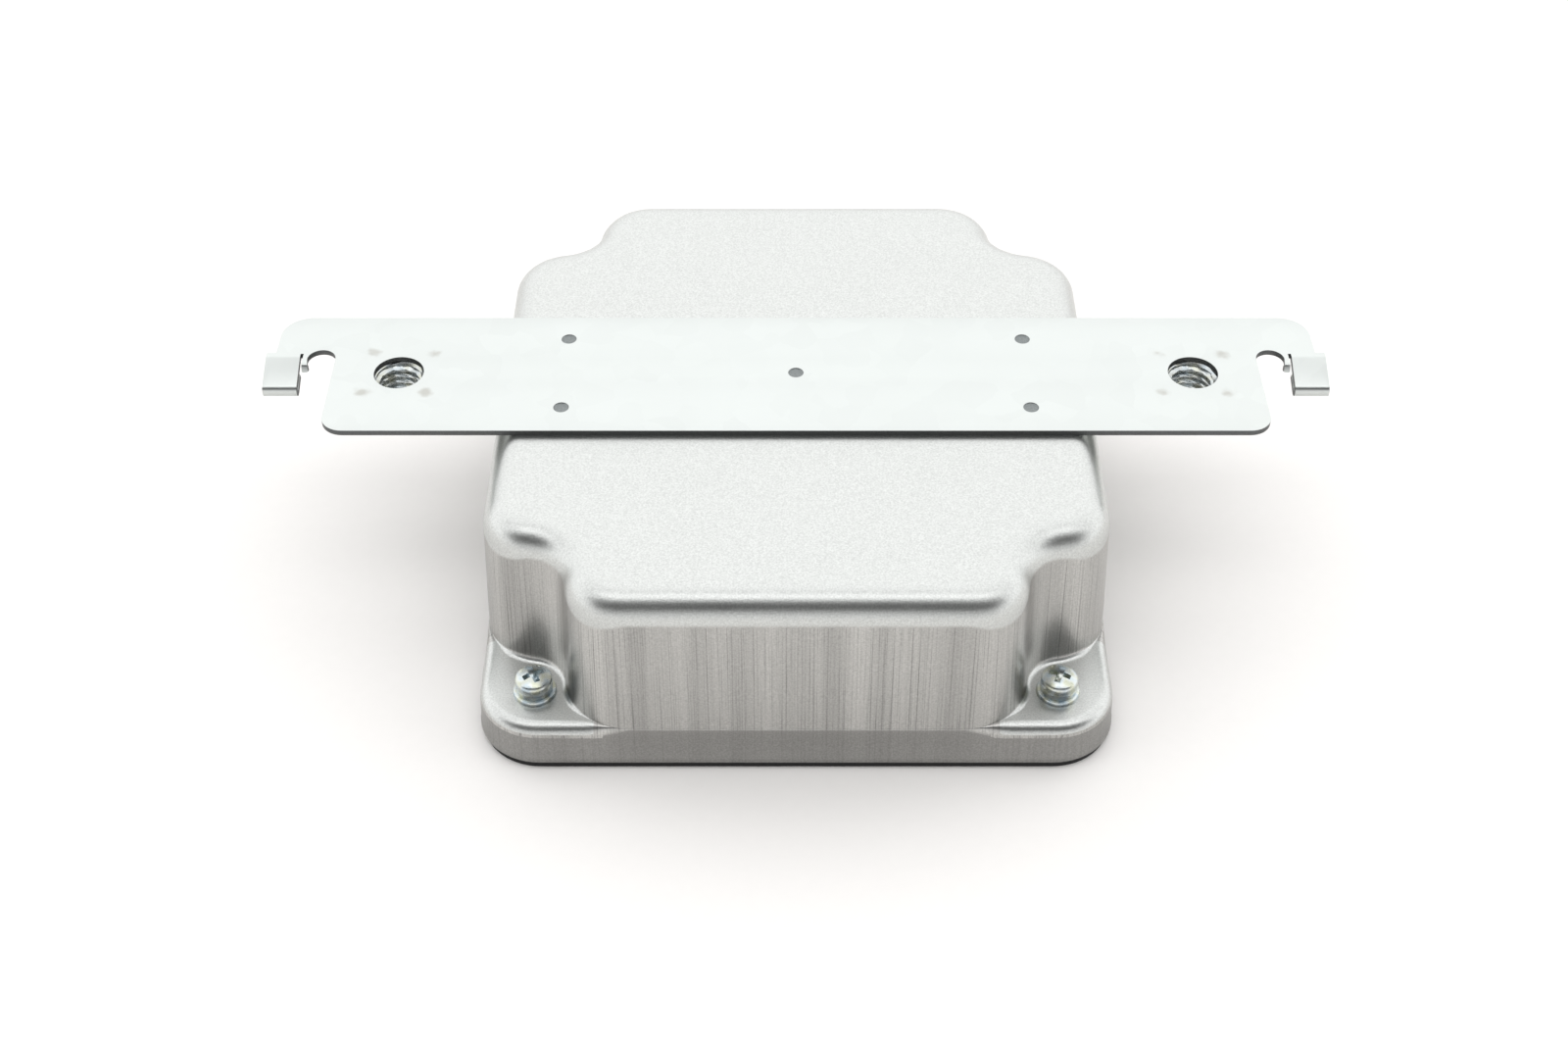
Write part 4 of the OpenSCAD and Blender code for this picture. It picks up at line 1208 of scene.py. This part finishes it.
@dataclass
class CornerTree:
    """Geometry Nodes that put one piece at the four corners of a rectangle."""

    name: str = "corner_set"

    def build(self) -> bpy.types.GeometryNodeTree:
        """Builds the tree with its named inputs.

        Returns:
            The tree.
        """
        tree = bpy.data.node_groups.new(self.name, "GeometryNodeTree")
        for name, kind in (
            ("Piece", "NodeSocketObject"),
            ("Span X", "NodeSocketFloat"),
            ("Span Y", "NodeSocketFloat"),
            ("Height", "NodeSocketFloat"),
            ("First Turn", "NodeSocketFloat"),
            ("Turn Step", "NodeSocketFloat"),
            ("Finish", "NodeSocketMaterial"),
        ):
            tree.interface.new_socket(name, in_out="INPUT", socket_type=kind)
        tree.interface.new_socket("Pieces", in_out="OUTPUT", socket_type="NodeSocketGeometry")
        given = add(tree, "NodeGroupInput").outputs
        corners = add(
            tree,
            "GeometryNodeMeshGrid",
            {"Size X": given["Span X"], "Size Y": given["Span Y"], "Vertices X": 2, "Vertices Y": 2},
        )
        lift = add(tree, "ShaderNodeCombineXYZ", {2: given["Height"]})
        lifted = add(tree, "GeometryNodeSetPosition", {"Geometry": corners, "Offset": lift})
        number = add(tree, "GeometryNodeInputIndex")
        turn = add(
            tree,
            "ShaderNodeMath",
            (number, given["Turn Step"], given["First Turn"]),
            operation="MULTIPLY_ADD",
        )
        euler = add(tree, "ShaderNodeCombineXYZ", {2: turn})
        rotation = add(tree, "FunctionNodeEulerToRotation", (euler,))
        source = add(tree, "GeometryNodeObjectInfo", {"Object": given["Piece"], "As Instance": True})
        placed = add(
            tree,
            "GeometryNodeInstanceOnPoints",
            {"Points": lifted, "Instance": source.outputs["Geometry"], "Rotation": rotation},
        )
        real = add(tree, "GeometryNodeRealizeInstances", (placed,))
        dressed = add(tree, "GeometryNodeSetMaterial", {"Geometry": real, "Material": given["Finish"]})
        add(tree, "NodeGroupOutput", (dressed,))
        return tree


def run_tree(name: str, tree: bpy.types.GeometryNodeTree, inputs: dict[str, object]) -> bpy.types.Object:
    """Runs a Geometry Nodes tree on a new piece and keeps the result as plain mesh.

    Args:
        name: the piece's name.
        tree: the tree.
        inputs: a value for each named input.

    Returns:
        The piece.
    """
    piece = new_object(name, bpy.data.meshes.new(name))
    change = piece.modifiers.new(name, "NODES")
    change.node_group = tree
    sockets = {item.name: item.identifier for item in tree.interface.items_tree}
    for key, value in inputs.items():
        change[sockets[key]] = value
    bake(piece)
    return piece


@dataclass
class CaptiveScrews:
    """The four cover screws, each with its split washer and flat washer."""

    thread_r: float = 1.5
    thread_root: float = 1.22
    pitch: float = 0.5
    length: float = 8.0
    head_r: float = 3.0
    head_side: float = 1.15
    head_height: float = 2.5
    recess: float = 1.9
    washer_r: float = 3.5
    washer_t: float = 0.7
    spring_r: float = 2.95
    spring_t: float = 0.9
    hole_r: float = 1.7
    first_turn: float = 0.5
    turn_step: float = 0.35

    def __post_init__(self) -> None:
        """Takes the screws' places from the frame."""
        low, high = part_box("flat_washers")
        self.span_x = (high.x - low.x) / MM - 2 * self.washer_r
        self.span_y = (high.y - low.y) / MM - 2 * self.washer_r
        self.shelf_z = low.z / MM

    def head_profile(self) -> list[tuple[float, float]]:
        """Works out the crowned head's profile.

        Returns:
            Radius and height of each point, from its bearing face to its top.
        """
        corner, end = 0.8, math.radians(58)
        points = [(self.head_r - 0.18, 0.0), (self.head_r - 0.04, 0.05), (self.head_r, 0.2)]
        for angle in np.linspace(0, end, 7):
            radius = self.head_r - corner * (1 - math.cos(angle))
            points.append((radius, self.head_side + corner * math.sin(angle)))
        rim_r, rim_z = points[-1]
        rise = self.head_height - rim_z
        crown = (rim_r**2 + rise**2) / (2 * rise)
        for radius in rim_r * np.array((0.85, 0.7, 0.55, 0.4, 0.25, 0.1)):
            points.append((radius, self.head_height - crown + math.sqrt(crown**2 - radius**2)))
        return points

    def recess_tool(self) -> bpy.types.Mesh:
        """Builds the tapered cross that is pressed into the head, and the round mark beside it.

        Returns:
            One mesh that cuts both.
        """
        skin, rings = Skin(), []
        taper = ((0.5, 1.06, 0.56), (-0.4, 0.9, 0.46), (-1.1, 0.62, 0.4), (-1.45, 0.25, 0.2))
        for height, reach, wide in taper:
            long = self.recess * reach
            quarter = np.array([(long, -wide), (long, wide), (wide, wide)])
            turns = [quarter @ np.array(((c, s), (-s, c))) for c, s in ((1, 0), (0, 1), (-1, 0), (0, -1))]
            rings.append(ring_at(np.concatenate(turns), self.head_height + height))
        skin.loft(rings[::-1])
        mark = [(0.02, -0.35), (0.22, -0.2), (0.3, 0.0), (0.35, 0.4)]
        spot = (1.55, 1.55, self.head_height - 0.42)
        skin.loft([ring + spot for ring in turned(mark, 16)])
        return skin.mesh("recess")

    def template(self, part: Part) -> bpy.types.Object:
        """Builds one piece at the origin.

        Args:
            part: which piece.

        Returns:
            The piece, its bearing face at height 0.
        """
        if part is Part.SCREW:
            rings = turned([(0.2, -self.length), (self.thread_root, 0.4 - self.length)], 36)
            rings += thread_rings(self.thread_r, self.thread_root, self.pitch, 0.5 - self.length, -0.3, 36)
            rings += turned([(self.thread_r, -0.1), (self.thread_r, 0.0)], 36)
            rings += turned(self.head_profile(), 36)
            piece = new_object("template", Skin().loft(rings).mesh("template"))
            cut(piece, self.recess_tool())
        elif part is Part.SPRING:
            piece = new_object("template", self.split_ring())
        else:
            e = 0.12
            t, r, hole = self.washer_t, self.washer_r, self.hole_r
            profile = [
                (hole, 0.03), (r - e / 2, 0.0), (r, e / 2), (r, t - 2.5 * e), (r - e, t - e / 2),
                (r - 3 * e, t), (hole + 2 * e, t), (hole, t - 2 * e),
            ]
            piece = new_object("template", Skin().loft(turned(profile), looped=True).mesh("template"))
        return piece

    def split_ring(self) -> bpy.types.Mesh:
        """Builds the split washer: a rectangular wire wound once, its ends a little apart.

        Returns:
            The mesh, its bearing face at height 0.
        """
        gap, step = math.radians(9), 0.06
        inner, outer, t, e = self.hole_r, self.spring_r, self.spring_t, 0.08
        section = np.array(
            [(inner, e), (inner + e, 0), (outer - e, 0), (outer, e), (outer, t - step - e),
             (outer - e, t - step), (inner + e, t - step), (inner, t - step - e)]
        )
        rings = []
        for k, angle in enumerate(np.linspace(gap / 2, 2 * np.pi - gap / 2, ROUND_STEPS)):
            way = np.array((math.cos(angle), math.sin(angle)))
            flat = section[:, :1] * way
            rings.append(ring_at(flat, section[:, 1] + step * k / (ROUND_STEPS - 1)))
        return Skin().loft(rings).mesh("template")

    def build(self, tree: bpy.types.GeometryNodeTree) -> list[bpy.types.Object]:
        """Builds the screws, the split washers and the flat washers.

        Args:
            tree: the tree that puts a piece at the four corners.

        Returns:
            One piece for each of the three.
        """
        heights = {
            Part.FLAT: self.shelf_z,
            Part.SPRING: self.shelf_z + self.washer_t,
            Part.SCREW: self.shelf_z + self.washer_t + self.spring_t,
        }
        made = []
        for part, height in heights.items():
            template = self.template(part)
            piece = run_tree(
                part.value + "_detailed",
                tree,
                {
                    "Piece": template,
                    "Span X": self.span_x * MM,
                    "Span Y": self.span_y * MM,
                    "Height": height * MM,
                    "First Turn": self.first_turn,
                    "Turn Step": self.turn_step,
                    "Finish": BRIGHT_ZINC.material(),
                },
            )
            bpy.data.objects.remove(template)
            made.append(piece)
        return made


@dataclass
class WeldNuts:
    """The two square weld nuts under the bracket's end holes, with their real thread."""

    width: float = 14.0
    crest: float = 3.32
    root: float = 3.98
    pitch: float = 1.25
    chamfer_r: float = 4.15
    corner: float = 1.2
    ease: float = 0.5

    def build(self) -> bpy.types.Object:
        """Builds both nuts as one piece.

        Returns:
            The piece.
        """
        low, high = (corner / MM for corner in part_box("weld_nuts"))
        tall = high.z - low.z
        steps = ROUND_STEPS
        chamfer = self.chamfer_r - self.crest
        bore = thread_rings(self.crest, self.root, self.pitch, 0.0, tall, steps)
        for ring in bore:
            depth = min(ring[0, 2], tall - ring[0, 2])
            least = self.chamfer_r - depth * 1.1 if depth < chamfer else 0.0
            radius = np.linalg.norm(ring[:, :2], axis=1)
            ring[:, :2] *= (np.maximum(radius, least) / radius)[:, None]
        half = self.width / 2 - self.corner
        quarter = steps // 4
        sweep = 90 * quarter / (quarter - 1)
        parts = [
            outline_arc((half * sx, half * sy), self.corner, start, start + sweep, quarter)
            for sx, sy, start in ((1, 1, 0), (-1, 1, 90), (-1, -1, 180), (1, -1, 270))
        ]
        points, outward = (np.concatenate([p[k] for p in parts]) for k in (0, 1))
        points, outward = np.roll(points, -quarter // 2, axis=0), np.roll(outward, -quarter // 2, axis=0)
        e, mid = self.ease, 0.12
        rims = ((e, tall), (mid, tall - mid), (0, tall - e), (0, e), (mid, mid), (e, 0))
        shell = [ring_at(points - outward * depth, height) for depth, height in rims]
        bore = [np.roll(ring, -quarter, axis=0) for ring in bore]
        skin = Skin()
        for x in (low.x + self.width / 2, high.x - self.width / 2):
            place = np.array((x, (low.y + high.y) / 2, low.z))
            skin.loft([ring + place for ring in bore + shell], looped=True)
        return new_object("threaded_weld_nuts", skin.mesh("threaded_weld_nuts"), PLAIN_ZINC)


# ---- Sockets ----------------------------------------------------------------


@dataclass
class Socket:
    """A round panel socket on the rear wall: flange, barrel with its mouth, threaded neck."""

    name: str
    places: tuple[float, ...]
    barrel_r: float
    barrel_length: float
    flange_r: float
    neck_r: float
    mouth_r: float
    mouth_depth: float
    bore_r: float
    axis_z: float = 17.6
    seal: float = 0.8
    flange_t: float = 2.0
    neck_length: float = 7.8
    grips: int = 12
    ease: float = 0.35

    def build(self, can: Can) -> bpy.types.Object:
        """Builds the sockets of one kind as one piece.

        Args:
            can: the cover that they sit in.

        Returns:
            The piece.
        """
        end = self.seal + self.flange_t + self.barrel_length
        floor = end - self.mouth_depth
        e, steps = self.ease, 4 * self.grips
        wave = np.clip(np.cos(np.arange(steps) * 2 * np.pi * self.grips / steps), 0, 1)
        flange_z = (self.seal, self.seal + e, self.seal + self.flange_t - e, self.seal + self.flange_t)
        flange_r = (self.flange_r - e, self.flange_r, self.flange_r, self.flange_r - e)
        flange = turned(list(zip(flange_r, flange_z, strict=True)), steps)
        for ring in flange:
            ring[:, :2] *= (1 - 0.05 * wave)[:, None]
        r, mouth = self.barrel_r, self.mouth_r
        groove = flange_z[-1] + 0.55 * self.barrel_length
        outside = [
            (r + 0.25, flange_z[-1]), (r, flange_z[-1] + 0.3), (r, groove - 0.7), (r - 0.5, groove - 0.5),
            (r - 0.5, groove + 0.5), (r, groove + 0.7), (r, end - e), (r - e, end),
            (mouth + e, end), (mouth, end - e), (mouth, floor + e), (mouth - e, floor), (self.bore_r, floor),
            (self.bore_r, -self.neck_length),
        ]
        neck = thread_rings(self.neck_r, self.neck_r - 0.35, 1.0, -self.neck_length, -0.2, steps)
        rings = neck + turned([(self.neck_r, 0.0), (self.neck_r, self.seal)], steps)
        rings += flange + turned(outside, steps)
        form = Skin().loft(rings, looped=True).mesh(self.name)
        skin = bmesh.new()
        for x in self.places:
            copy = form.copy()
            copy.transform(can.rear_wall(x, self.axis_z))
            skin.from_mesh(copy)
        mesh = bpy.data.meshes.new(self.name)
        skin.to_mesh(mesh)
        skin.free()
        return new_object(self.name, mesh, BLACK_NYLON)


# ---- Stage ------------------------------------------------------------------


@dataclass
class Studio:
    """Plain pale floor, soft light and the camera."""

    floor_size: float = 6.0
    camera_at: tuple[float, float, float] = (-2.0, -286.75, 264.9)
    camera_tilt: float = 47.55
    lens: float = 50.0
    sensor: float = 36.0
    box_size: tuple[float, float] = (1.3, 0.6)
    box_at: tuple[float, float, float] = (0.0, -0.2, 1.1)
    box_power: float = 0.9
    fill_size: float = 1.6
    fill_at: tuple[float, float, float] = (0.0, -0.9, 1.2)
    fill_power: float = 5.5
    world_strength: float = 2.55
    backdrop: float = 0.97
    side_level: float = 0.6
    # Brightness of the room from the far horizon (0) over the top (0.5) to the viewer's (1)
    room: tuple[tuple[float, float], ...] = (
        (0.0, 0.5),
        (0.2, 0.62),
        (0.4, 0.58),
        (0.45, 0.34),
        (0.51, 0.62),
        (0.56, 0.7),
        (0.62, 0.2),
        (0.66, 0.03),
        (0.82, 0.03),
        (0.87, 0.3),
        (1.0, 0.45),
    )

    def floor(self) -> None:
        """Lays the paper under the object."""
        half = self.floor_size / 2
        mesh = bpy.data.meshes.new("paper_floor")
        corners = [(-half, -half, 0), (half, -half, 0), (half, half, 0), (-half, half, 0)]
        mesh.from_pydata(corners, [], [(0, 1, 2, 3)])
        new_object("paper_floor", mesh, PAPER)

    def lights(self) -> None:
        """Hangs the soft box and paints the room's light."""
        fill_size = (self.fill_size, self.fill_size)
        for name, size, power, place in (
            ("soft_box", self.box_size, self.box_power, self.box_at),
            ("fill", fill_size, self.fill_power, self.fill_at),
        ):
            light = bpy.data.lights.new(name, "AREA")
            light.shape, light.size, light.size_y = "RECTANGLE", *size
            light.energy = power
            lamp = bpy.data.objects.new(name, light)
            lamp.location = Vector(place)
            lamp.rotation_euler = (-lamp.location).to_track_quat("-Z", "Y").to_euler()
            lamp.visible_glossy = name == "soft_box"
            bpy.context.scene.collection.objects.link(lamp)

        world = bpy.data.worlds.new("room")
        bpy.context.scene.world = world
        world.use_nodes = True
        tree = world.node_tree
        tree.nodes.clear()
        way = add(tree, "ShaderNodeTexCoord").outputs["Generated"]
        split = add(tree, "ShaderNodeSeparateXYZ", (way,))
        angle = add(tree, "ShaderNodeMath", (split.outputs[2], split.outputs[1]), operation="ARCTAN2")
        share = add(tree, "ShaderNodeMath", (angle, math.pi), operation="DIVIDE")
        ramp = add(tree, "ShaderNodeValToRGB", (share,))
        stops = ramp.color_ramp.elements
        while len(stops) < len(self.room):
            stops.new(0.5)
        for stop, (place, level) in zip(stops, self.room, strict=True):
            stop.position, stop.color = place, (level, level, level, 1)
        aside = add(tree, "ShaderNodeMath", (split,), operation="ABSOLUTE")
        side = add(tree, "ShaderNodeMapRange", (aside, 0.7, 0.97, 0.0, 1.0))
        lit = add(tree, "ShaderNodeMix", {0: side, 6: ramp, 7: (*[self.side_level] * 3, 1)}, data_type="RGBA")
        seen = add(tree, "ShaderNodeLightPath").outputs["Is Camera Ray"]
        pale = self.backdrop / self.world_strength
        shown = add(
            tree, "ShaderNodeMix", {0: seen, 6: lit.outputs[2], 7: (pale, pale, pale, 1)}, data_type="RGBA"
        )
        back = add(tree, "ShaderNodeBackground", {"Color": shown.outputs[2], "Strength": self.world_strength})
        add(tree, "ShaderNodeOutputWorld", {"Surface": back})

    def camera(self) -> None:
        """Places the camera."""
        data = bpy.data.cameras.new("camera")
        data.lens, data.sensor_width = self.lens, self.sensor
        data.clip_start, data.clip_end = 0.01, 20
        camera = bpy.data.objects.new("camera", data)
        camera.location = Vector(self.camera_at) * MM
        camera.rotation_euler = (math.radians(self.camera_tilt), 0, 0)
        bpy.context.scene.collection.objects.link(camera)
        bpy.context.scene.camera = camera

    def build(self) -> None:
        """Builds the whole stage."""
        self.floor()
        self.lights()
        self.camera()
        bpy.context.scene.view_settings.view_transform = "Standard"


def hole_tool(radius: float, matrix: Matrix) -> bpy.types.Mesh:
    """Gives a closed cylinder that cuts a hole through the sheet.

    Args:
        radius: the hole's radius in millimetres.
        matrix: the place in metres, its Z through the sheet.

    Returns:
        The mesh.
    """
    reach = 2.5
    mesh = Skin().loft(turned([(radius, -reach), (radius, reach)])).mesh("hole")
    mesh.transform(matrix)
    return mesh


def dress_nodes() -> None:
    """Gives every CAD node that keeps its mesh its finish."""
    for finish, nodes in NODE_FINISHES.items():
        for name in nodes:
            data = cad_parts[name].data
            data.materials.clear()
            data.materials.append(finish.material())


def main() -> None:
    """Builds the sub-assemblies in order and reports each piece."""
    logging.basicConfig(level=logging.INFO, format="%(message)s")
    Studio().build()
    dress_nodes()

    can = Can()
    screws = CaptiveScrews()
    dc = Socket("solar_sockets", (4.0, 19.0), 5.5, 8.0, 7.25, 4.9, 3.8, 9.0, 1.65)
    ac = Socket("grid_socket", (-15.0,), 7.4, 6.5, 8.6, 6.6, 6.2, 7.5, 0.95)
    holes = [
        hole_tool(screws.hole_r, Matrix.Translation(Vector((x, y, can.shelf_z)) * MM))
        for x in (-screws.span_x / 2, screws.span_x / 2)
        for y in (-screws.span_y / 2, screws.span_y / 2)
    ]
    for socket in (dc, ac):
        holes += [hole_tool(socket.neck_r + 0.2, can.rear_wall(x, socket.axis_z)) for x in socket.places]
    settle(can.build(holes), "can_steel", "cover")
    settle(Bracket().build(), "bracket_steel", "mounting_bracket")
    settle(WeldNuts().build(), "zinc_post", "weld_nuts")
    tree = CornerTree().build()
    for piece, part in zip(screws.build(tree), (Part.FLAT, Part.SPRING, Part.SCREW), strict=True):
        settle(piece, "zinc_screw", part.value)
    settle(eased_copy("base_plate", BLACK_ANODISED, 0.08), "base_black", "base_plate")
    settle(dc.build(can), "moulded_black", "dc_socket_bodies")
    settle(ac.build(can), "moulded_black", "ac_socket_body")


if __name__ == "__main__":
    main()
